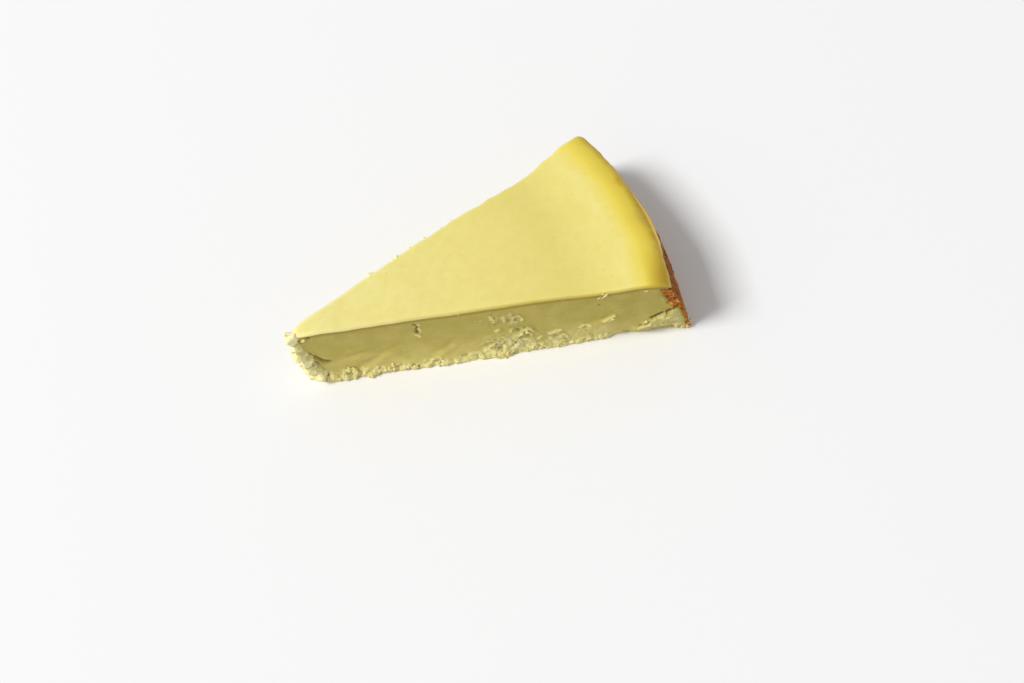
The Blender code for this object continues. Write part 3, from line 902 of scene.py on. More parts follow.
# %% [markdown]
# ## More curls at random
#
# A torn patch holds more small curls than anyone would place by hand. They are thrown over it by dice with
# a fixed seed, so every run gives the same ones. The low tears of the front get them. The high ones have
# all their curls by name. The back was cut more cleanly and keeps every second one.

# %% Throw short curls over the tears
DICE_SEED = 5
SCRAPS_PER_AREA, SCRAP_SPREAD, SCRAP_LOWEST = 0.4, 0.45, 0.5
SCRAP_SLANT, SCRAP_SLANT_SPREAD = 45, 40
SCRAP_LENGTHS, SCRAP_HALF_WIDTHS, SCRAP_PROUD = (0.6, 2.4), (0.35, 0.6), (0.2, 0.6)
KEEP_EVERY = 2


def scraps(tears, dice):
    """Short curls at random places of each tear, most of them slanting as the knife dragged."""
    made = []
    for tear in tears:
        for _ in range(int(SCRAPS_PER_AREA * tear.half_length * tear.half_height)):
            along = dice.gauss(tear.along, SCRAP_SPREAD * tear.half_length)
            height = max(SCRAP_LOWEST, dice.gauss(tear.height, SCRAP_SPREAD * tear.half_height))
            turn = math.radians(dice.gauss(SCRAP_SLANT, SCRAP_SLANT_SPREAD))
            length = dice.uniform(*SCRAP_LENGTHS)
            end = (along + length * math.cos(turn), height + length * math.sin(turn))
            half_width, proud = dice.uniform(*SCRAP_HALF_WIDTHS), dice.uniform(*SCRAP_PROUD)
            made.append(Curl(half_width, proud, [(along, height), end]))
    return made


dice = random.Random(DICE_SEED)
FRONT_RAISED = FRONT_CURLS + scraps(LOW_TEARS, dice)
BACK_RAISED = BACK_CURLS + scraps(BACK_TEARS, dice)[::KEEP_EVERY]
print(len(FRONT_RAISED), "curls in all on the front cut and", len(BACK_RAISED), "on the back cut")

# %% [markdown]
# ## The crumbly foot, the broken tip and the crack
#
# The foot of a cut is a band of crumb where the knife met the base. It swells and shrinks, and lumps are
# squeezed out of it. Near the rim a crack runs up to the wall with a ledge under it. The tip is broken:
# under the skin it is only a stack of curds. All this could be sculpted by hand, but as a sum of humps,
# steps and lumps it stays a list of sizes, which can be measured and changed one by one.

# %% Foot, tip and crack of the front cut, and how the back cut wanders
WAVE, WAVE_LENGTH = 0.45, 28.0
FOOT_HEIGHT, FOOT_RELIEF, FOOT_LUMP, FOOT_ROUNDNESS, FOOT_PROUD = 4.6, 0.9, 4.0, 0.9, 0.45
FOOT_SPREAD, FOOT_SPREAD_HEIGHT, FOOT_SPREAD_RUNS_OUT = 1.0, 6.9, (60.0, 100.0)
FootCurd = namedtuple("FootCurd", "along proud")
FOOT_CURDS = [FootCurd(*row) for row in (
    (6.5, 1.0), (12.1, 1.0), (16.5, 1.2), (23.3, 1.0), (36.0, 0.6), (48.5, 0.9), (68.0, 0.7),
)]
FOOT_CURD_HEIGHT, FOOT_CURD_SIZE = 1.2, 1.8
FootRise = namedtuple("FootRise", "along half_length height")
FRONT_FOOT_RISES = [FootRise(*row) for row in (
    (6.0, 4.0, 4.5), (45.0, 4.0, 1.5), (70.0, 7.0, 3.5), (87.0, 4.0, 2.0),
)]
BACK_FOOT_RISES = [FootRise(25.0, 6.0, 2.5), FootRise(95.0, 8.0, 3.0)]
FOOT_BAND, BAND_FADES_BELOW, BAND_FADES_ABOVE = 2.6, 0.5, 0.9
BAND_SWELL, BAND_SWELL_LENGTH, BAND_RAGGED, BAND_RAGGED_SIZE = 1.6, 6.0, 0.9, 1.6
UNDERCUT, UNDERCUT_DEPTH, UNDERCUT_BLUR, UNDERCUT_HEIGHT = (105.0, 123.0), 1.5, 3.5, 3.5
CRACK = ((110.0, 4.6), (125.5, 14.6))
Slit = namedtuple("Slit", "start end half_width depth")
SLITS = [
    Slit((113.2, 5.0), (116.4, 7.1), 0.22, 0.8),
    Slit((117.4, 8.6), (120.7, 10.7), 0.50, 2.2),
    Slit((122.0, 11.0), (123.3, 12.0), 0.45, 1.8),
    Slit((124.2, 12.5), (125.4, 13.1), 0.36, 1.4),
    Slit((7.4, 11.8), (9.2, 10.1), 0.95, 2.0),
    Slit((9.2, 10.1), (11.4, 9.4), 0.65, 1.3),
    Slit((41.2, 24.4), (42.1, 22.6), 0.30, 0.8),
    Slit((42.1, 22.6), (41.3, 20.8), 0.34, 0.9),
    Slit((41.3, 20.8), (41.8, 19.2), 0.26, 0.7),
]
LEDGE_PROUD, LEDGE_SWELLS, LEDGE_FADES, LEDGE_CRUMB = 1.1, (0.0, 2.0), (3.5, 10.0), (0.2, 1.0)
LEDGE_RAGGED = ((2.6, 0.9), (0.9, 0.35))
SLIT_WANDER, SLIT_WANDER_LENGTH = 0.35, 1.3
BREAK_START, BREAK_END, BREAK_DEPTH, BREAK_CURDS = 4.2, 10.5, 1.9, 1.2
BREAK_SKIN = (17.0, 23.0)
BREAK_NARROWER, BREAK_NARROWS = 0.4, (14.5, 18.0)
BREAK_RAGGED_SIZE, BREAK_EVEN, BREAK_MARK_EDGE, BREAK_MARK_FROM = 2.4, 2.2, (-0.25, 0.25), (0.0, 0.3)
BACK_CORNER_ROUND = 2.6
BACK_BOW, BACK_BOW_RUNS_OUT = 1.1, (51.0, 81.0)
BACK_DIP, BACK_DIP_RADIUS, BACK_DIP_WIDTH = 0.4, 96.0, 10.0
BACK_BREAK_CURDS = 0.8
EDGE_WAVE, EDGE_WAVE_LENGTH, EDGE_WAVE_FROM = 0.7, 5.0, (20.0, 26.0)
FULL_UP_TO = 0.3            # a foot's relief is full up to this share of its height, and fades above it


def foot(along, height, layer):
    """The foot of a cut is a crumbly band that swells and shrinks."""
    low = fall(FULL_UP_TO * FOOT_HEIGHT, FOOT_HEIGHT, height)
    return FOOT_RELIEF * low * (FOOT_PROUD + FOOT_ROUNDNESS * curds(along, height, FOOT_LUMP, layer))


def foot_band(along, height, rises, layer):
    """1 in the band of crumb along the foot and 0 above it; its upper edge is ragged."""
    band = FOOT_BAND + BAND_SWELL * lumpy(along, 0.0, BAND_SWELL_LENGTH, layer)
    band += BAND_RAGGED * lumpy(along, height, BAND_RAGGED_SIZE, layer)
    for bulge in rises:
        band += bulge.height * hump(along, bulge.along, bulge.half_length)
    return fall(band - BAND_FADES_BELOW, band + BAND_FADES_ABOVE, height)


def front_foot(along, height):
    """What the front foot adds: it spreads, with curds squeezed out, and is undercut by the corner."""
    relief = FOOT_SPREAD * fall(*FOOT_SPREAD_RUNS_OUT, along) * fall(0.0, FOOT_SPREAD_HEIGHT, height)
    low = hump(height, FOOT_CURD_HEIGHT, FOOT_CURD_SIZE)
    for curd in FOOT_CURDS:
        relief += curd.proud * hump(along, curd.along, FOOT_CURD_SIZE) * low
    start, end = UNDERCUT
    under = rise(start - UNDERCUT_BLUR, start, along) * fall(end, end + UNDERCUT_BLUR, along)
    return relief - UNDERCUT_DEPTH * under * fall(FULL_UP_TO * UNDERCUT_HEIGHT, UNDERCUT_HEIGHT, height)


def cracked(along, height):
    """The ledge under the crack by the corner: relief and share of torn crumb."""
    above, beside = seen_from_line(along, height, CRACK)
    for size, strength in LEDGE_RAGGED:
        above += strength * lumpy(along, height, size, CRUST_LAYER)
    ledge = rise(*LEDGE_SWELLS, -above) * fall(*LEDGE_FADES, -above)
    return beside * LEDGE_PROUD * ledge, beside * rise(*LEDGE_CRUMB, -above)


def slit_open(along, height):
    """Short open slits: how deep the surface sinks there, and how much painted shade it takes."""
    along += SLIT_WANDER * lumpy(along, height, SLIT_WANDER_LENGTH, CRUST_LAYER)
    height += SLIT_WANDER * lumpy(height, along, SLIT_WANDER_LENGTH, FRONT_LAYER + TORN_LAYER)
    deep, hollow = 0.0, 0.0
    for slit in SLITS:
        away = away_from(along, height, slit.start, slit.end)
        if away < REACH * slit.half_width:
            here = hump(away, 0.0, slit.half_width)
            deep, hollow = max(deep, slit.depth * here), max(hollow, here)
    return deep, hollow


print("the crack is", round(math.dist(*CRACK), 1), "mm long")

# %% All relief of one cut
Surface = namedtuple("Surface", "relief torn tip foot hollow smeared curl")
SMEARED_OVER, LEDGE_OVER, FOOT_OVER = 0.8, 0.8, 0.7
# Share of its painted shade that a pit keeps on the front cut
PIT_SHADE_SHARE = 0.6


def broken_tip(along, height, depth, lumps, layer):
    """Near the tip a cut is broken away in curds under the skin: relief, and how broken it is."""
    reach = 1 - BREAK_NARROWER * rise(*BREAK_NARROWS, height)
    crumbly = fall(BREAK_START * reach, BREAK_END * reach, along)
    relief = lumps * curds(along, height, CURD_SIZE, layer) - depth * fall(*BREAK_SKIN, height)
    return crumbly * relief, crumbly


def broken_mark(along, height, crumbly, layer):
    """How broken the tip looks at a place; the mark ends raggedly."""
    ragged = lumpy(along, height, BREAK_RAGGED_SIZE, layer + EDGE_LAYER) + BREAK_EVEN * (crumbly - 0.5)
    return rise(*BREAK_MARK_EDGE, ragged) * rise(*BREAK_MARK_FROM, crumbly)


CutMarks = namedtuple("CutMarks", "layer tears pits creases raised rises break_depth break_curds")
FRONT_MARKS = CutMarks(
    FRONT_LAYER,
    FRONT_TEARS,
    FRONT_PITS,
    FRONT_CREASES,
    FRONT_RAISED,
    FRONT_FOOT_RISES,
    BREAK_DEPTH,
    BREAK_CURDS,
)
BACK_MARKS = CutMarks(
    BACK_LAYER,
    BACK_TEARS,
    BACK_PITS,
    BACK_CREASES,
    BACK_RAISED,
    BACK_FOOT_RISES,
    0.0,
    BACK_BREAK_CURDS,
)


def cut_surface(along, height, marks):
    """What both cuts have: waves, tears, pits, curls, drag lines, a broken tip and a crumbly foot."""
    layer = marks.layer
    relief = WAVE * lumpy(along, height, WAVE_LENGTH, layer + WAVE_LAYER)
    tear, pitting = torn(along, height, marks.tears, layer + TORN_LAYER)
    pit, deep = pitted(along, height, marks.pits)
    broken, crumbly = broken_tip(along, height, marks.break_depth, marks.break_curds, layer + BREAK_LAYER)
    raised, curl = curled(along, height, marks.raised)
    relief += pitting + raised - deep + broken
    relief += dragged(along, height, marks.creases, layer + DRAG_LAYER)
    relief += foot(along, height, layer + FOOT_LAYER)
    band = foot_band(along, height, marks.rises, layer + BAND_LAYER)
    return Surface(relief, tear, broken_mark(along, height, crumbly, layer), band, pit, 0.0, curl)


def front_cut(along, height):
    """The front cut at a place: how far it stands out, and its marks."""
    here = cut_surface(along, height, FRONT_MARKS)
    smear, folds = torn(along, height, FRONT_SMEARS, FRONT_LAYER + BAND_LAYER)
    crack, ledge_crumb = cracked(along, height)
    slit, slit_shade = slit_open(along, height)
    return here._replace(
        relief=here.relief + folds - slit + crack + front_foot(along, height),
        torn=max(here.torn * (1 - SMEARED_OVER * smear), LEDGE_OVER * ledge_crumb),
        foot=here.foot * (1 - FOOT_OVER * ledge_crumb) * (1 - FOOT_OVER * smear),
        hollow=max(PIT_SHADE_SHARE * here.hollow, slit_shade),
        smeared=smear,
    )


def back_cut(along, height):
    """The same for the back cut, which is cleaner but wanders more."""
    here = cut_surface(along, height, BACK_MARKS)
    relief = here.relief + BACK_BOW * fall(*BACK_BOW_RUNS_OUT, along)
    edge_wave = EDGE_WAVE * lumpy(along, 0.0, EDGE_WAVE_LENGTH, BACK_LAYER + EDGE_LAYER)
    relief += edge_wave * rise(*EDGE_WAVE_FROM, height)
    relief -= BACK_DIP * hump(along, BACK_DIP_RADIUS, BACK_DIP_WIDTH)
    relief += CORNER_PROUD * rise(BACK_DIP_RADIUS, BACK_DIP_RADIUS + 2 * BACK_DIP_WIDTH, along)
    return here._replace(relief=relief)


print("front cut in its middle:", [round(v, 2) for v in front_cut(60.0, 14.0)])

# %% [markdown]
# ## The browned wall
#
# The wall baked against the tin. It is covered in broad shallow scales with finer grain on them, and it
# browned a few millimetres deep, which shows as a brown edge where the knife went through it.

# %% Relief of the wall and depth of the browning
CRUST_RELIEF, CRUST_FLAKE, CRUST_GRAIN = 0.45, 7.0, 2.5
CRUST_GRAIN_SHARE, CRUST_FOOT_SHARE, CRUST_FADE = 0.5, 0.5, 1.5
BROWNED_DEPTH, BROWNED_LOW, BROWNED_FROM = 3.8, 0.6, (10.0, 16.0)
BROWNED_WANDER, BROWNED_WANDER_SIZE, BROWNED_REPEAT = 0.9, 3.5, 300.0
BROWNED_FULL, BROWNED_FADES = 1.0, 1.2
LIP_SINKS = (0.2, 1.2)


def crust_relief(angle, height, below):
    """How far the wall stands out at a place: scales and grain, and the groove under the lip."""
    around = angle * BASE_RADIUS
    scales = curds(around, height, CRUST_FLAKE, CRUST_LAYER + FLAKE_LAYER)
    grain = lumpy(around, height, CRUST_GRAIN, CRUST_LAYER + GRAIN_LAYER)
    relief = CRUST_RELIEF * (scales + CRUST_GRAIN_SHARE * grain)
    relief += CRUST_FOOT_SHARE * foot(around, height, CRUST_LAYER + FOOT_LAYER)
    groove = lip_strength(angle) * hump(below, GROOVE_DOWN, GROOVE_WIDTH)
    relief += LIP_OUT * lip_strength(angle) * fall(*LIP_SINKS, below)
    return relief - GROOVE_DEPTH * groove, groove


def browned(to_wall, height, angle):
    """How brown a cut is at a distance from the wall."""
    depth = BROWNED_LOW + (BROWNED_DEPTH - BROWNED_LOW) * rise(*BROWNED_FROM, height)
    depth += BROWNED_WANDER * lumpy(angle * BROWNED_REPEAT, height, BROWNED_WANDER_SIZE, CRUST_LAYER)
    return fall(depth - BROWNED_FULL, depth + BROWNED_FADES, to_wall)


print("browned up to", BROWNED_DEPTH, "mm deep")

# %% [markdown]
# ## Put every point in its place
#
# Now each point of the bare wedge is moved: the skin sets its height, a cut pushes it out or in along
# that cut's own normal, and the wall pushes it along the radius. The push fades inward, so that the top
# and the base follow the edges. The marks are kept on the points for the finishes and for the crumbs.

# %% Shape the wedge
FRONT, BACK = -1, 1
PUSH_FADE, PUSH_LIMIT = 2.0, 0.35
CORNER_WEAR, CORNER_TURN = 0.7, 0.9
MARK_FADE, FARTHEST_IN = 0.6, 20.0
LIP_SHOWS, GROOVE_SHOWS, BROWNED_UNDER_SKIN = (0.5, 1.1), (0.5, 1.5), (0.5, 1.5)
EDGE_DOWN, EDGE_IN = (0.3, 1.2), (0.2, 1.0)
SKIN_BREAK, SKIN_RAGGED, SKIN_RAGGED_SIZE, SKIN_RAGGED_TURN = (3.5, 5.5), 1.6, 2.0, 8.0
MARKS = "torn tip foot hollow smeared curl crust lip groove below inset edge".split()


def place(bare):
    """Where a point of the bare wedge goes, in millimetres from the axis, and its marks."""
    radius, angle = math.hypot(bare.x, bare.y), math.atan2(bare.y, bare.x)
    across = angle / HALF_ANGLE
    share = bare.z / CENTRE_HEIGHT
    lean = BASE_RADIUS + (RIM_RADIUS - BASE_RADIUS) * share + WALL_BULGE * math.sin(math.pi * share)
    back = TIP_BACK_LOW + (TIP_BACK_TOP - TIP_BACK_LOW) * rise(
        TIP_STEP_HEIGHT - TIP_STEP_BLUR, TIP_STEP_HEIGHT + TIP_STEP_BLUR, bare.z
    )
    to_wall = lean - radius
    swell = RIM_SWELL * share * hump(math.degrees(angle), RIM_SWELL_AT, RIM_SWELL_WIDTH)
    radius += swell * (radius - back) / (lean - back)

    # The skin, rounded over where a cut ends it
    to_cut = radius * math.sin(HALF_ANGLE * (1 - min(1.0, abs(across))))
    top = top_height(radius, angle) - skin_edge(to_cut) + lip_relief(to_wall, angle)
    height = share * top
    below = top - height

    # The back corner is worn round
    if across > 0:
        left = 1 - min(1.0, to_cut / BACK_CORNER_ROUND)
        worn = CORNER_WEAR * BACK_CORNER_ROUND * (1 - math.sqrt(1 - CORNER_TURN * left * left))
        radius -= worn * math.exp(-max(0.0, to_wall) / BACK_CORNER_ROUND)

    # The blunt nose is wider than the bare wedge would be there
    nose = TIP_HALF_WIDTH * fall(0.0, NOSE_LENGTH, radius - back)
    x = radius * math.cos(angle) + nose * across ** 2
    y = radius * math.sin(angle) + nose * across

    # The cut pushes along its normal, and leaves the middle where it is
    side, cut = (FRONT, front_cut) if across < 0 else (BACK, back_cut)
    here = cut(radius, height)
    width = 2 * radius * math.sin(HALF_ANGLE) + nose
    near = abs(across) * math.exp(-to_cut / PUSH_FADE)
    push = max(here.relief, -PUSH_LIMIT * width) * near
    x -= push * math.sin(HALF_ANGLE)
    y += side * push * math.cos(HALF_ANGLE)

    # And the wall along the radius
    outward, groove = crust_relief(angle, height, below)
    outward *= math.exp(-max(0.0, to_wall) / CRUST_FADE)
    x += outward * math.cos(angle)
    y += outward * math.sin(angle)

    on_cut = math.exp(-to_cut / MARK_FADE)
    lip = lip_strength(angle) * hump(to_wall, LIP_IN, LIP_WIDTH) * fall(*LIP_SHOWS, below)
    marks = (
        here.torn * on_cut,
        max(here.tip * on_cut, broken_skin(radius, angle)),
        here.foot * on_cut,
        # Pits, slits and hollows between lumps carry painted shade
        here.hollow * on_cut,
        here.smeared * on_cut,
        here.curl * on_cut,
        browned(to_wall, height, angle) * rise(*BROWNED_UNDER_SKIN, below),
        min(1.0, lip),
        groove * fall(*GROOVE_SHOWS, to_wall),
        below,
        min(to_cut, FARTHEST_IN),
        fall(*EDGE_DOWN, below) * fall(*EDGE_IN, to_cut),
    )
    return Vector((x, y, height)), marks


def broken_skin(radius, angle):
    """How broken the skin is on top: only at the very tip."""
    ragged = radius + SKIN_RAGGED * lumpy(radius, angle * SKIN_RAGGED_TURN, SKIN_RAGGED_SIZE, SKIN_LAYER)
    return fall(*SKIN_BREAK, ragged)


def shape_wedge(mesh):
    """Move every point to its place on the slice, in metres, and keep its marks on the mesh."""
    kept = []
    for vert in mesh.vertices:
        point, marks = place(vert.co)
        vert.co = (point + AXIS) * MM
        kept.append(marks)
    for name, values in zip(MARKS, zip(*kept)):
        attribute = mesh.attributes.new(name, "FLOAT", "POINT")
        attribute.data.foreach_set("value", values)
    mesh.update()


shape_wedge(wedge)
print("marks kept on", len(wedge.vertices), "points:", ", ".join(MARKS))

# %% [markdown]
# ## Crumble the surface
#
# Torn curd breaks into rounded lumps of many sizes, like cauliflower. A Geometry Nodes tree moves the
# surface along its normal by fractal Voronoi lumps, shifts it sideways a little so that lumps overhang,
# and does so only where a mark allows it. The same tree runs for the tip, the tears, the foot and the
# browned crust, each time with other sizes, and it marks the hollows between the lumps, where the finish
# paints shade.

# %% The crumbling tree
WARP_SHARE = 1.8


def crumble_tree():
    """The tree that breaks a surface into lumps where a mark is strong."""
    tree, given = open_tree("crumble_where_marked", {
        "Mark": "torn",
        "Lump size": 1.0,
        "Depth": 1.0,
        "Proud share": 0.5,
        "Sideways": 0.2,
        "Hollow shade share": 1.0,
        "Seed": 0.0,
    })
    here = add(tree, "GeometryNodeInputPosition")
    amount = add(tree, "GeometryNodeInputNamedAttribute", {"Name": given["Mark"]}, data_type="FLOAT")
    scale = add(tree, "ShaderNodeMath", {0: 1.0, 1: given["Lump size"]}, operation="DIVIDE")
    seeded = add(tree, "ShaderNodeVectorMath", {0: here, 1: given["Seed"]}, operation="ADD")
    around = swirl(tree, seeded, scale, 2.0)
    bend = add(tree, "ShaderNodeMath", {0: given["Lump size"], 1: WARP_SHARE}, operation="MULTIPLY")
    warp = add(tree, "ShaderNodeVectorMath", {0: around, "Scale": bend}, operation="SCALE")
    warped = add(tree, "ShaderNodeVectorMath", {0: seeded, 1: warp}, operation="ADD")
    cells = add(tree, "ShaderNodeTexVoronoi", {
        "Vector": warped,
        "Scale": scale,
        "Detail": 1.0,
        "Roughness": 0.4,
        "Smoothness": 0.3,
    }, feature="SMOOTH_F1").outputs["Distance"]
    squared = add(tree, "ShaderNodeMath", {0: cells, 1: cells}, operation="MULTIPLY")
    lump = add(tree, "ShaderNodeMath", {0: given["Proud share"], 1: squared}, operation="SUBTRACT")
    depth = add(tree, "ShaderNodeMath", {0: lump, 1: given["Depth"]}, operation="MULTIPLY")
    normal = add(tree, "GeometryNodeInputNormal")
    out = add(tree, "ShaderNodeVectorMath", {0: normal, "Scale": depth}, operation="SCALE")
    reach = add(tree, "ShaderNodeMath", {0: given["Depth"], 1: given["Sideways"]}, operation="MULTIPLY")
    aside = add(tree, "ShaderNodeVectorMath", {0: around, "Scale": reach}, operation="SCALE")
    both = add(tree, "ShaderNodeVectorMath", {0: out, 1: aside}, operation="ADD")
    offset = add(tree, "ShaderNodeVectorMath", {0: both, "Scale": amount}, operation="SCALE")
    moved = add(tree, "GeometryNodeSetPosition", {"Geometry": given["Geometry"], "Offset": offset})
    moved = keep_above_floor(tree, moved)

    # Hollows between lumps are kept as a mark, where the finish paints shade
    low = add(tree, "ShaderNodeMapRange", {"Value": cells, "From Min": 0.55, "From Max": 0.85})
    low = add(tree, "ShaderNodeMath", {0: low, 1: amount}, operation="MULTIPLY")
    low = add(tree, "ShaderNodeMath", {0: low, 1: given["Hollow shade share"]}, operation="MULTIPLY")
    before = add(tree, "GeometryNodeInputNamedAttribute", {"Name": "hollow"}, data_type="FLOAT")
    darkest_shade = add(tree, "ShaderNodeMath", {0: low, 1: before}, operation="MAXIMUM")
    mark = {"Geometry": moved, "Name": "hollow", "Value": darkest_shade}
    kept = add(tree, "GeometryNodeStoreNamedAttribute", mark, data_type="FLOAT", domain="POINT")
    close_tree(tree, kept, [CURD, SKIN, CRUST, BASE], side="side")
    return tree


CRUMBLING_INPUTS = ("Mark", "Lump size", "Depth", "Proud share", "Sideways", "Hollow shade share", "Seed")
CRUMBLINGS = [
    ("tip", 3.4, 1.3, 0.25, 0.5, 0.1, 1.0),
    ("foot", 2.4, 1.2, 0.65, 0.6, 0.0, 3.0),
    ("foot", 1.2, 0.3, 0.50, 0.6, 0.0, 6.0),
    ("torn", 2.0, 0.6, 0.45, 0.6, 0.05, 4.0),
    ("torn", 1.0, 0.3, 0.45, 0.6, 0.0, 8.0),
    ("crust", 2.2, 0.8, 0.25, 0.5, 0.0, 5.0),
    ("crust", 1.0, 0.3, 0.25, 0.5, 0.0, 7.0),
]
tree = crumble_tree()
for row in CRUMBLINGS:
    wedge = run_tree(tree, wedge, NODE + "_curd", row_of(CRUMBLING_INPUTS, row))
wedge.shade_smooth()
slice_piece = bpy.data.objects.new(NODE + "_curd", wedge)
bpy.context.scene.collection.objects.link(slice_piece)
triangles = sum(len(polygon.vertices) - 2 for polygon in wedge.polygons)
print("slice:", triangles, "triangles after", len(CRUMBLINGS), "crumblings")

# %% [markdown]
# ## Loose crumbs, squeezed curds and shreds
#
# Real crumbs sit on the foot, in the tears and along the edges, too small and too undercut for the
# surface itself. Two trees make them, and both start from points that have a girth. One scatters its
# points where a mark is strong. The other takes them from a list: curds on the tip, the cuts, the back
# edge and the rim, each with smaller ones half sunk in it, and close beads along the foot and along the
# shreds that the knife pulled out. The points are fused through a volume, smoothed at their seams and
# dented with noise. Loose balls would stay balls, but paste that is fused clings together like moist
# crumb. Where it lies lower than its surroundings it is marked, and its finish paints shade there.

# %% The finish of loose crumbs
def crumb_finish(name, stops, depth_mm, share):
    """Fresh curd from inside, with no skin: dry, pale and grainy. Light enters by a depth and a share."""
    material, tree, shader = new_material(name)
    here = from_axis(tree)
    crumb = ramp(tree, spots(tree, here, 1.0, 0.3, 0.7), stops)
    crumb = tinted(tree, crumb, "#DCCF80", spots(tree, here, 7.0, 0.4, 0.65), 0.35)
    # Painted shade in the creases between lumps
    crumb = tinted(tree, crumb, "#DCC048", marked(tree, "crease"), 0.7)
    feed(tree, shader, {
        "Base Color": crumb,
        "Roughness": 0.65,
        "Specular IOR Level": 0.3,
        "Subsurface Weight": share,
        "Subsurface Scale": depth_mm * MM,
        "Normal": finest_relief(tree, spots(tree, here, 0.8, 0.3, 0.7), 0.05),
    })
    return material


def toasted_flake():
    """A flake of toasted curd: dry, orange brown, with darker specks."""
    material, tree, shader = new_material("toasted_flake")
    specks = spots(tree, from_axis(tree), 1.2, 0.3, 0.7)
    flake = ramp(tree, specks, [(0.0, "#93551A"), (0.5, "#CE8C3C"), (1.0, "#E9BE7C")])
    feed(tree, shader, {"Base Color": flake, "Roughness": 0.65, "Subsurface Weight": 0.12})
    return material


LOOSE_COLOURS = [(0.0, "#DBCE80"), (0.6, "#E9DD98"), (1.0, "#F6EEBC")]
# The tip and back-edge curds take a brighter copy of the crumb finish: painted light for lumps that face
# the lamp
BROKEN_LIT_COLOURS = [(0.0, "#FAEFA6"), (0.6, "#FFF7BE"), (1.0, "#FFFCE0")]
CRUMB = crumb_finish("loose_matcha_crumb", LOOSE_COLOURS, 0.2, 0.1)
BROKEN_LIT = crumb_finish("broken_matcha_curd_painted_light", BROKEN_LIT_COLOURS, 0.2, 0.05)
FLAKE = toasted_flake()
print("made", CRUMB.name, BROKEN_LIT.name, FLAKE.name)

# %% Paste points together
PASTE_SIZES = {"Grain": 0.3 * MM, "Lump size": 1.5 * MM, "Depth": 1.0 * MM, "Detail": 1.0, "Smoothing": 2}
CREASE_BLUR, CREASE_DEEPEST = 6, 0.6
FUSED_FROM = 0.1


def paste(tree, given, points, girth, material):
    """Fill a ball round each point, fuse them all, smooth the seams and dent the result. Ends the tree."""
    cloud = add(tree, "GeometryNodePointsToVolume", {
        "Points": points,
        "Voxel Size": given["Grain"],
        "Radius": girth,
    }, resolution_mode="VOXEL_SIZE")
    solid = add(tree, "GeometryNodeVolumeToMesh", {
        "Volume": cloud,
        "Threshold": FUSED_FROM,
    }, resolution_mode="GRID")
    here = add(tree, "GeometryNodeInputPosition")
    even = add(tree, "GeometryNodeBlurAttribute", {
        "Value": here,
        "Iterations": given["Smoothing"],
    }, data_type="FLOAT_VECTOR")
    solid = add(tree, "GeometryNodeSetPosition", {"Geometry": solid, "Position": even})
    often = add(tree, "ShaderNodeMath", {0: 1.0, 1: given["Lump size"]}, operation="DIVIDE")
    around = swirl(tree, here, often, given["Detail"])
    dent = add(tree, "ShaderNodeVectorMath", {0: around, "Scale": given["Depth"]}, operation="SCALE")
    dented = add(tree, "GeometryNodeSetPosition", {"Geometry": solid, "Offset": dent})
    dented = keep_above_floor(tree, dented)

    # A place that lies under the mean of its surroundings lies in one of the creases, where the crumb's
    # finish paints shade
    mean = add(tree, "GeometryNodeBlurAttribute", {
        "Value": here,
        "Iterations": CREASE_BLUR,
    }, data_type="FLOAT_VECTOR")
    toward_mean = add(tree, "ShaderNodeVectorMath", {0: mean, 1: here}, operation="SUBTRACT")
    normal = add(tree, "GeometryNodeInputNormal")
    under = add(tree, "ShaderNodeVectorMath", {0: toward_mean, 1: normal}, operation="DOT_PRODUCT")
    deepest = add(tree, "ShaderNodeMath", {0: given["Grain"], 1: CREASE_DEEPEST}, operation="MULTIPLY")
    crease = add(tree, "ShaderNodeMapRange", {
        "Value": under.outputs["Value"],
        "From Min": 0.0,
        "From Max": deepest,
    })
    mark = {"Geometry": dented, "Name": "crease", "Value": crease}
    kept = add(tree, "GeometryNodeStoreNamedAttribute", mark, data_type="FLOAT", domain="POINT")
    soft = add(tree, "GeometryNodeSetShadeSmooth", {"Geometry": kept})
    close_tree(tree, soft, [material])


print("paste has", len(PASTE_SIZES), "settings")

# %% Scatter crumbs where a mark is strong
def crumbs_tree(material):
    """The tree that scatters points where a mark is strong and pastes crumbs on them."""
    tree, given = open_tree("crumbs_where_marked", {
        "Mark": "torn",
        "Spacing": 1.0,
        "Per square metre": 1000.0,
        "Smallest": 0.1,
        "Largest": 1.0,
        "Sink": 0.3,
        "Seed": 0,
        **PASTE_SIZES,
    })
    chance = add(tree, "GeometryNodeInputNamedAttribute", {"Name": given["Mark"]}, data_type="FLOAT")
    spread = add(tree, "GeometryNodeDistributePointsOnFaces", {
        "Mesh": given["Geometry"],
        "Distance Min": given["Spacing"],
        "Density Max": given["Per square metre"],
        "Density Factor": chance,
        "Seed": given["Seed"],
    }, distribute_method="POISSON").outputs

    # Small crumbs are commoner than large ones
    draw = add(tree, "FunctionNodeRandomValue", {"Seed": given["Seed"]}, data_type="FLOAT")
    squared = add(tree, "ShaderNodeMath", {0: draw, 1: draw}, operation="MULTIPLY")
    radius = add(tree, "ShaderNodeMapRange", {
        "Value": squared,
        "To Min": given["Smallest"],
        "To Max": given["Largest"],
    })
    kept = add(tree, "GeometryNodeStoreNamedAttribute", {
        "Geometry": spread["Points"],
        "Name": "girth",
        "Value": radius,
    }, data_type="FLOAT", domain="POINT")
    own = add(tree, "GeometryNodeInputNamedAttribute", {"Name": "girth"}, data_type="FLOAT")
    sunk = add(tree, "ShaderNodeMath", {0: own, 1: given["Sink"]}, operation="MULTIPLY")
    inward = add(tree, "ShaderNodeMath", {0: 0.0, 1: sunk}, operation="SUBTRACT")
    down = add(tree, "ShaderNodeVectorMath", {0: spread["Normal"], "Scale": inward}, operation="SCALE")
    seated = add(tree, "GeometryNodeSetPosition", {"Geometry": kept, "Offset": down})
    paste(tree, given, seated, own, material)
    return tree


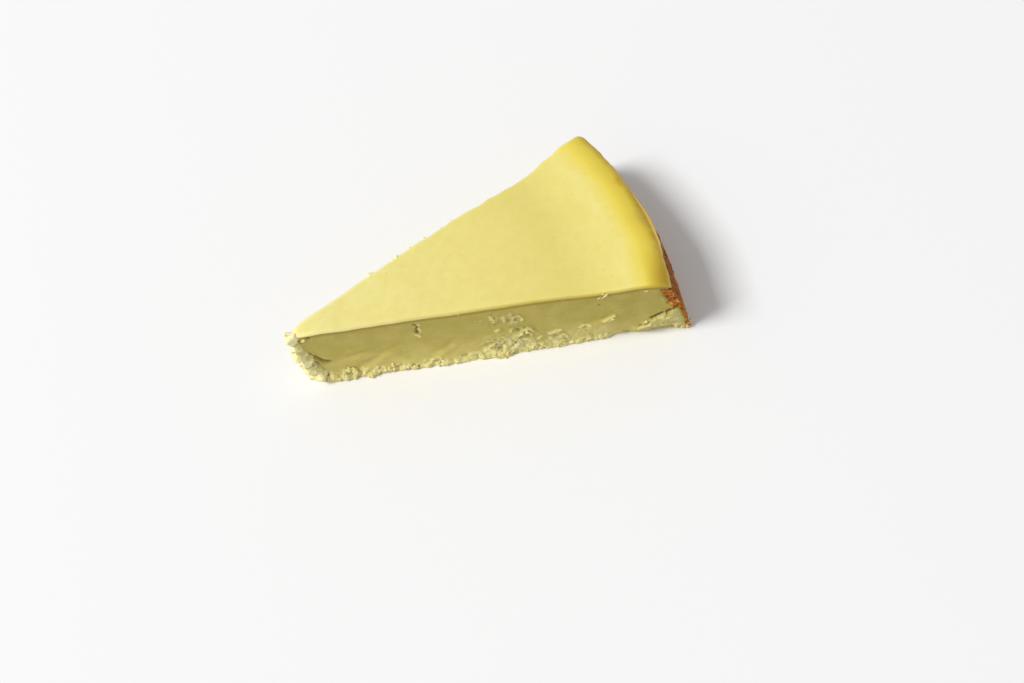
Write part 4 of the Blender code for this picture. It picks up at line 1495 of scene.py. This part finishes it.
SCATTER_INPUTS = (
    "Mark", "Spacing", "Per square metre", "Smallest", "Largest", "Sink", "Lump size", "Depth", "Seed"
)
SCATTERS = {
    "foot_crumbs": (CRUMB, "foot", 2.0, 0.10e6, 0.40, 1.00, 0.65, 1.4, 0.9, 12),
    "torn_crumbs": (CRUMB, "torn", 1.8, 0.08e6, 0.25, 0.60, 0.50, 1.0, 0.5, 13),
    "crust_flakes": (FLAKE, "crust", 1.6, 0.20e6, 0.20, 0.50, 0.50, 1.0, 0.7, 14),
    "edge_crumbs": (CRUMB, "edge", 1.8, 0.04e6, 0.12, 0.30, 0.20, 0.6, 0.4, 15),
}
CRUMB_PASTE = {"Grain": 0.14 * MM, "Detail": 1.0, "Smoothing": 4}


def keep_piece(name, mesh):
    """Make an object of a mesh and count it as a piece of the slice."""
    piece = bpy.data.objects.new(name, mesh)
    bpy.context.scene.collection.objects.link(piece)
    pieces.append(piece)
    print(name, sum(len(polygon.vertices) - 2 for polygon in mesh.polygons), "triangles")


pieces = [slice_piece]
for name, (material, *row) in SCATTERS.items():
    sizes = {**CRUMB_PASTE, **row_of(SCATTER_INPUTS, row)}
    keep_piece(name, run_tree(crumbs_tree(material), wedge, name, sizes))

# %% [markdown]
# ## Curds and shreds at named places
#
# Lumps up to half a centimetre across hang on the tip and lie along the foot, small ones sit on the back
# edge and by the rim, and the knife pulled thin shreds from the cuts. Scattered ones would land anywhere,
# so these are listed. A place on a cut is its distance from the axis, its height and how far out it lies.

# %% Places of curds on the tip, the cuts, the back edge and the rim
CUTS = {FRONT: front_cut, BACK: back_cut}
TipCurd = namedtuple("TipCurd", "x y z radius")
TIP_CURDS = [TipCurd(*row) for row in (
    (2.6, -0.3, 24.9, 1.9), (3.8, -0.3, 26.3, 1.1), (2.9, -0.3, 20.2, 1.9), (2.9, -0.3, 15.6, 2.3),
    (5.2, -1.2, 13.0, 1.7), (3.9, -0.5, 10.4, 2.2), (4.6, -0.8, 5.8, 2.4), (5.8, -1.2, 2.0, 2.1),
    (7.2, -2.4, 2.6, 2.2), (3.4, 0.9, 22.4, 1.6), (3.9, 0.8, 18.0, 1.6), (4.3, 0.9, 13.2, 1.9),
    (5.3, 1.0, 8.7, 1.7), (6.0, 1.2, 4.9, 1.9), (7.2, 1.7, 1.6, 1.5),
)]
CutCurd = namedtuple("CutCurd", "side along height out radius")
CUT_CURDS = [CutCurd(FRONT, *row) for row in (
    (6.0, 24.4, -0.5, 0.9), (7.2, 6.6, -0.4, 1.2), (8.4, 4.6, -0.5, 0.9), (12.9, 0.8, 2.0, 0.9),
    (15.0, 2.2, 1.0, 0.8), (15.6, 3.6, 0.9, 0.8), (17.0, 4.2, 0.9, 0.8), (18.6, 3.7, 1.0, 0.9),
    (19.4, 2.4, 1.2, 0.9), (18.6, 1.1, 1.5, 1.1), (16.4, 0.9, 1.2, 0.9), (21.6, 1.2, 1.2, 1.2),
    (23.4, 3.2, 0.8, 0.9), (25.0, 1.9, 1.0, 1.3), (27.6, 1.4, 0.8, 1.1), (30.2, 1.6, 1.0, 1.0),
    (31.6, 2.8, 0.7, 0.8), (36.5, 1.2, 0.9, 0.9), (48.6, 1.3, 1.2, 1.2), (69.0, 1.0, 1.1, 1.0),
    (129.4, 1.3, 0.0, 0.8), (130.3, 2.9, -0.6, 0.6), (127.6, 1.0, 0.0, 0.8),
    (125.6, 1.6, -0.3, 0.7),
)] + [CutCurd(BACK, *row) for row in (
    (18.0, 1.3, 0.8, 1.3), (29.0, 1.2, 0.9, 1.1), (55.0, 1.3, 0.7, 1.3), (83.0, 1.2, 0.4, 1.1),
    (99.0, 1.4, 0.6, 1.4),
)]
EDGE_OUT = -0.1
EDGE_CURDS = [CutCurd(BACK, along, height, EDGE_OUT, radius) for along, height, radius in (
    (34.7, 26.7, 0.95), (35.6, 26.4, 0.85), (43.8, 26.7, 0.85), (45.0, 26.7, 1.00),
    (50.4, 26.7, 0.85), (51.3, 26.6, 0.70), (56.5, 26.6, 0.80), (62.9, 26.5, 0.85),
    (67.5, 26.5, 0.85), (68.7, 26.4, 0.70),
)]
RimCurd = namedtuple("RimCurd", "angle height out radius")
RIM_CURDS = [RimCurd(*row) for row in (
    (-15.7, 1.6, -0.2, 1.0), (-15.2, 3.2, -0.4, 0.9), (-3.0, 0.9, -0.5, 1.0), (9.5, 0.8, -0.5, 0.9),
)]


def out_of_cut(side):
    """The outward direction of a cut."""
    return Vector((-math.sin(HALF_ANGLE), side * math.cos(HALF_ANGLE), 0.0))


def on_cut(side, along, height, out):
    """A place a given distance out of a cut's flat plane, in millimetres from the axis."""
    turn = side * HALF_ANGLE
    return Vector((along * math.cos(turn), along * math.sin(turn), height)) + out * out_of_cut(side)


def on_rim(angle, height, out):
    """A place a given distance out of the wall."""
    turn, share = math.radians(angle), height / CENTRE_HEIGHT
    radius = BASE_RADIUS + (RIM_RADIUS - BASE_RADIUS) * share + out
    return Vector((radius * math.cos(turn), radius * math.sin(turn), height))


print(len(TIP_CURDS), "curds on the tip,", len(CUT_CURDS), "on the cuts and", len(RIM_CURDS), "on the rim")

# %% Places of shreds on the cuts
Shred = namedtuple("Shred", "side width proud points")
SHREDS = [
    Shred(FRONT, 0.24, 0.2, [(59.8, 21.7), (61.8, 21.4), (63.5, 20.7)]),
    Shred(FRONT, 0.26, 0.2, [(113.0, 25.3), (114.2, 25.3), (116.0, 25.0)]),
    Shred(FRONT, 0.26, 0.4, [(99.4, 24.0), (100.8, 25.6), (101.6, 27.4)]),
    Shred(FRONT, 0.30, 0.5, [(100.6, 24.2), (102.0, 25.6), (103.0, 27.3)]),
    Shred(FRONT, 0.24, 0.3, [(55.2, 26.2), (55.6, 27.3)]),
    Shred(FRONT, 0.20, 0.3, [(60.8, 26.6), (61.6, 26.9)]),
    Shred(FRONT, 0.18, 0.2, [(65.6, 26.4), (65.3, 24.8)]),
    Shred(FRONT, 0.30, 1.0, [(75.2, 12.2), (76.4, 12.8), (77.8, 12.4)]),
    Shred(FRONT, 0.26, 0.8, [(76.4, 7.4), (77.8, 7.0), (79.0, 7.2)]),
    Shred(FRONT, 0.28, 0.8, [(102.3, 11.0), (104.0, 12.4), (105.3, 13.3)]),
    Shred(BACK, 0.30, 0.8, [(58.6, 21.3), (60.3, 20.0), (60.5, 17.5)]),
    Shred(BACK, 0.30, 0.8, [(95.0, 8.0), (98.0, 8.5)]),
]
FOOT_LINES = [
    Shred(FRONT, 0.95, 0.35, [(9.0, 1.2), (14.0, 1.4), (21.0, 0.9), (27.0, 1.2), (34.0, 1.0)]),
    Shred(FRONT, 0.85, 0.35, [(30.0, 1.0), (38.0, 0.8), (46.0, 1.0), (55.0, 0.8)]),
    Shred(FRONT, 0.90, 0.30, [(50.0, 0.9), (60.0, 0.8), (68.0, 1.1), (77.0, 0.8)]),
    Shred(FRONT, 0.75, 0.25, [(73.0, 0.8), (83.0, 0.7), (93.0, 0.8), (104.0, 0.8)]),
    Shred(BACK, 0.90, 0.30, [(12.0, 1.0), (30.0, 0.9), (50.0, 1.0), (70.0, 0.8), (95.0, 1.0),
                             (118.0, 0.8)]),
]
print(len(SHREDS), "shreds and", len(FOOT_LINES), "lines of crumb along the foot")

# %% Turn curds and shreds to points with a girth
LARGE_SHARE, SMALL_SHARE = (0.4, 0.7), (0.35, 0.6)
HALF_SUNK = 0.85
FOOT_JITTER = 0.4
SHRED_STEP, SHRED_JITTER, FEWEST_BEADS, BEAD_SUNK = 0.16, 0.09, 3, 0.6
GIRTH_MEAN, GIRTH_WAVE, GIRTH_WAVE_LENGTH, GIRTH_AT_ENDS = 0.8, 0.9, 1.1, 0.4


def clustered(places, curds, smaller, shares, dice):
    """Each curd with a few smaller ones half sunk in it, so that it is no ball."""
    more_places, more_radii = list(places), [curd.radius for curd in curds]
    for centre, curd in zip(places, curds):
        for _ in range(smaller):
            aside = Vector((dice.gauss(0, 1), dice.gauss(0, 1), dice.gauss(0, 1))).normalized()
            more_places.append(centre + HALF_SUNK * curd.radius * aside)
            more_radii.append(curd.radius * dice.uniform(*shares))
    return more_places, more_radii


def beaded(shreds, dice, jitter):
    """Each shred as close beads along its line, thick in the middle, thin at the ends and never even."""
    places, radii = [], []
    for shred in shreds:
        length = sum(math.dist(*pair) for pair in zip(shred.points, shred.points[1:]))
        gone = 0.0
        for start, end in zip(shred.points, shred.points[1:]):
            run = math.dist(start, end)
            beads = max(FEWEST_BEADS, int(run / SHRED_STEP))
            for share in (step / beads for step in range(beads)):
                along = start[0] + share * (end[0] - start[0]) + dice.gauss(0, jitter)
                height = start[1] + share * (end[1] - start[1]) + dice.gauss(0, jitter)
                wave = GIRTH_WAVE * lumpy(start[0] + share * run, start[1], GIRTH_WAVE_LENGTH, TORN_LAYER)
                middle = math.sin(math.pi * (gone + share * run) / length)
                girth = shred.width * (GIRTH_MEAN + wave)
                radii.append(girth * (GIRTH_AT_ENDS + (1 - GIRTH_AT_ENDS) * middle))
                out = CUTS[shred.side](along, height).relief + shred.proud - BEAD_SUNK * shred.width
                places.append(on_cut(shred.side, along, max(0.0, height), out))
            gone += run
    return places, radii


def on_relief(curd):
    """A curd's place, measured out of the cut's own relief."""
    relief = CUTS[curd.side](curd.along, curd.height).relief
    return on_cut(curd.side, curd.along, curd.height, curd.out + relief)


def points_mesh(name, places, radii):
    """Loose points in metres, each with its girth."""
    mesh = bpy.data.meshes.new(name)
    mesh.from_pydata([(place + AXIS) * MM for place in places], [], [])
    attribute = mesh.attributes.new("girth", "FLOAT", "POINT")
    attribute.data.foreach_set("value", [radius * MM for radius in radii])
    return mesh


tip_points = clustered([Vector(curd[:3]) for curd in TIP_CURDS], TIP_CURDS, 4, LARGE_SHARE, dice)
cut_points = clustered([on_cut(*curd[:4]) for curd in CUT_CURDS], CUT_CURDS, 4, LARGE_SHARE, dice)
edge_points = clustered([on_relief(curd) for curd in EDGE_CURDS], EDGE_CURDS, 3, LARGE_SHARE, dice)
rim_points = clustered([on_rim(*curd[:3]) for curd in RIM_CURDS], RIM_CURDS, 5, SMALL_SHARE, dice)
foot_points = beaded(FOOT_LINES, dice, FOOT_JITTER)
shred_points = beaded(SHREDS, dice, SHRED_JITTER)
print("points for tip, cuts and shreds:", [len(p[0]) for p in (tip_points, cut_points, shred_points)])

# %% Paste curds and shreds together
def paste_tree(material):
    """The tree that pastes listed points together."""
    tree, given = open_tree("paste_of_curds", PASTE_SIZES)
    own = add(tree, "GeometryNodeInputNamedAttribute", {"Name": "girth"}, data_type="FLOAT")
    points = add(tree, "GeometryNodeMeshToPoints", {"Mesh": given["Geometry"], "Radius": own})
    paste(tree, given, points, own, material)
    return tree


PASTE_INPUTS = ("Grain", "Lump size", "Depth", "Detail", "Smoothing")
PASTES = {
    "tip_curds": (BROKEN_LIT, tip_points, 0.25, 2.2, 1.5, 0.8, 8),
    "cut_curds": (CRUMB, cut_points, 0.22, 1.8, 1.5, 0.8, 5),
    "foot_paste": (CRUMB, foot_points, 0.24, 2.0, 2.0, 1.0, 6),
    "edge_curds": (BROKEN_LIT, edge_points, 0.16, 1.2, 0.7, 1.0, 2),
    "rim_curds": (FLAKE, rim_points, 0.25, 1.2, 1.0, 2.0, 1),
    "pulled_shreds": (CRUMB, shred_points, 0.15, 1.0, 0.5, 0.5, 3),
}
for name, (material, points, *row) in PASTES.items():
    sizes = row_of(PASTE_INPUTS, row)
    keep_piece(name, run_tree(paste_tree(material), points_mesh(name, *points), name, sizes))

# %% [markdown]
# ## Floor, light and camera
#
# A plain pale floor and a soft studio light: a large soft box from the left and a little behind, which
# grazes the front cut and shows its relief, and a pale surround that fills the shadows. The camera looks
# down at the slice as in the picture.

# %% Floor and light
FLOOR_SIZE = 6.0
LAMP_AZIMUTH, LAMP_ELEVATION = 172.0, 48.0
LAMP_DISTANCE, LAMP_SIZE, LAMP_POWER = 8.0, 2.6, 520.0
SURROUND = 0.42


def pale_floor():
    """Matt white board."""
    material = bpy.data.materials.new("matt_white_board")
    material.use_nodes = True
    tree = material.node_tree
    feed(tree, tree.nodes["Principled BSDF"], {
        "Base Color": colour("#F6F6F6"),
        "Roughness": 0.9,
        "Specular IOR Level": 0.2,
    })
    bpy.ops.mesh.primitive_plane_add(size=FLOOR_SIZE)
    floor = bpy.context.object
    floor.name = "floor"
    floor.data.materials.append(material)
    return floor


def soft_box():
    """A square area light, aimed at the slice."""
    lamp = bpy.data.lights.new("soft_box", "AREA")
    lamp.size = LAMP_SIZE
    lamp.energy = LAMP_POWER
    azimuth, elevation = math.radians(LAMP_AZIMUTH), math.radians(LAMP_ELEVATION)
    toward = Vector((
        math.cos(azimuth) * math.cos(elevation),
        math.sin(azimuth) * math.cos(elevation),
        math.sin(elevation),
    ))
    holder = bpy.data.objects.new("soft_box", lamp)
    holder.location = toward * LAMP_DISTANCE
    holder.rotation_mode = "QUATERNION"
    holder.rotation_quaternion = toward.to_track_quat("Z", "Y")
    bpy.context.scene.collection.objects.link(holder)
    return holder


def surround():
    """An even pale world."""
    world = bpy.data.worlds.new("pale_surround")
    world.use_nodes = True
    tree = world.node_tree
    feed(tree, tree.nodes["Background"], {"Color": colour("#FFFFFF"), "Strength": SURROUND})
    bpy.context.scene.world = world


floor = pale_floor()
soft_box()
surround()
bpy.context.scene.view_settings.view_transform = "Standard"
print("soft box at", LAMP_ELEVATION, "degrees up")

# %% Camera
CAMERA_PLACE = Vector((-57.03, -229.17, 370.75)) * MM
CAMERA_TURN, CAMERA_DOWN, CAMERA_ROLL = math.radians(16.033), math.radians(59.2), math.radians(-7.8)
FOCAL_PIXELS, PICTURE_WIDTH, SENSOR = 1300.0, 1024, 36.0
NEAREST = 10.0


def picture_camera():
    """A camera that looks down at the slice from its front, turned a little and rolled a little."""
    ahead = Vector((math.sin(CAMERA_TURN), math.cos(CAMERA_TURN), 0.0))
    right = Vector((math.cos(CAMERA_TURN), -math.sin(CAMERA_TURN), 0.0))
    forward = ahead * math.cos(CAMERA_DOWN) - Vector((0.0, 0.0, math.sin(CAMERA_DOWN)))
    upward = ahead * math.sin(CAMERA_DOWN) + Vector((0.0, 0.0, math.cos(CAMERA_DOWN)))
    image_x = right * math.cos(CAMERA_ROLL) + upward * math.sin(CAMERA_ROLL)
    image_y = upward * math.cos(CAMERA_ROLL) - right * math.sin(CAMERA_ROLL)
    turn = Matrix((image_x, image_y, -forward)).transposed()
    camera = bpy.data.objects.new("picture_camera", bpy.data.cameras.new("picture_camera"))
    camera.data.sensor_width = SENSOR
    camera.data.lens = SENSOR * FOCAL_PIXELS / PICTURE_WIDTH
    camera.data.clip_start = NEAREST * MM
    camera.matrix_world = Matrix.Translation(CAMERA_PLACE) @ turn.to_4x4()
    bpy.context.scene.collection.objects.link(camera)
    bpy.context.scene.camera = camera
    return camera


camera = picture_camera()
print("camera", round(camera.location.length / MM), "mm away, lens", round(camera.data.lens, 1), "mm")

# %% [markdown]
# ## Hand the pieces over
#
# The fine surface stands for the imported solid, and the crumbs go with it.

# %% Ride, replace and finish
for piece in pieces:
    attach(piece, "root")
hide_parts(NODE)
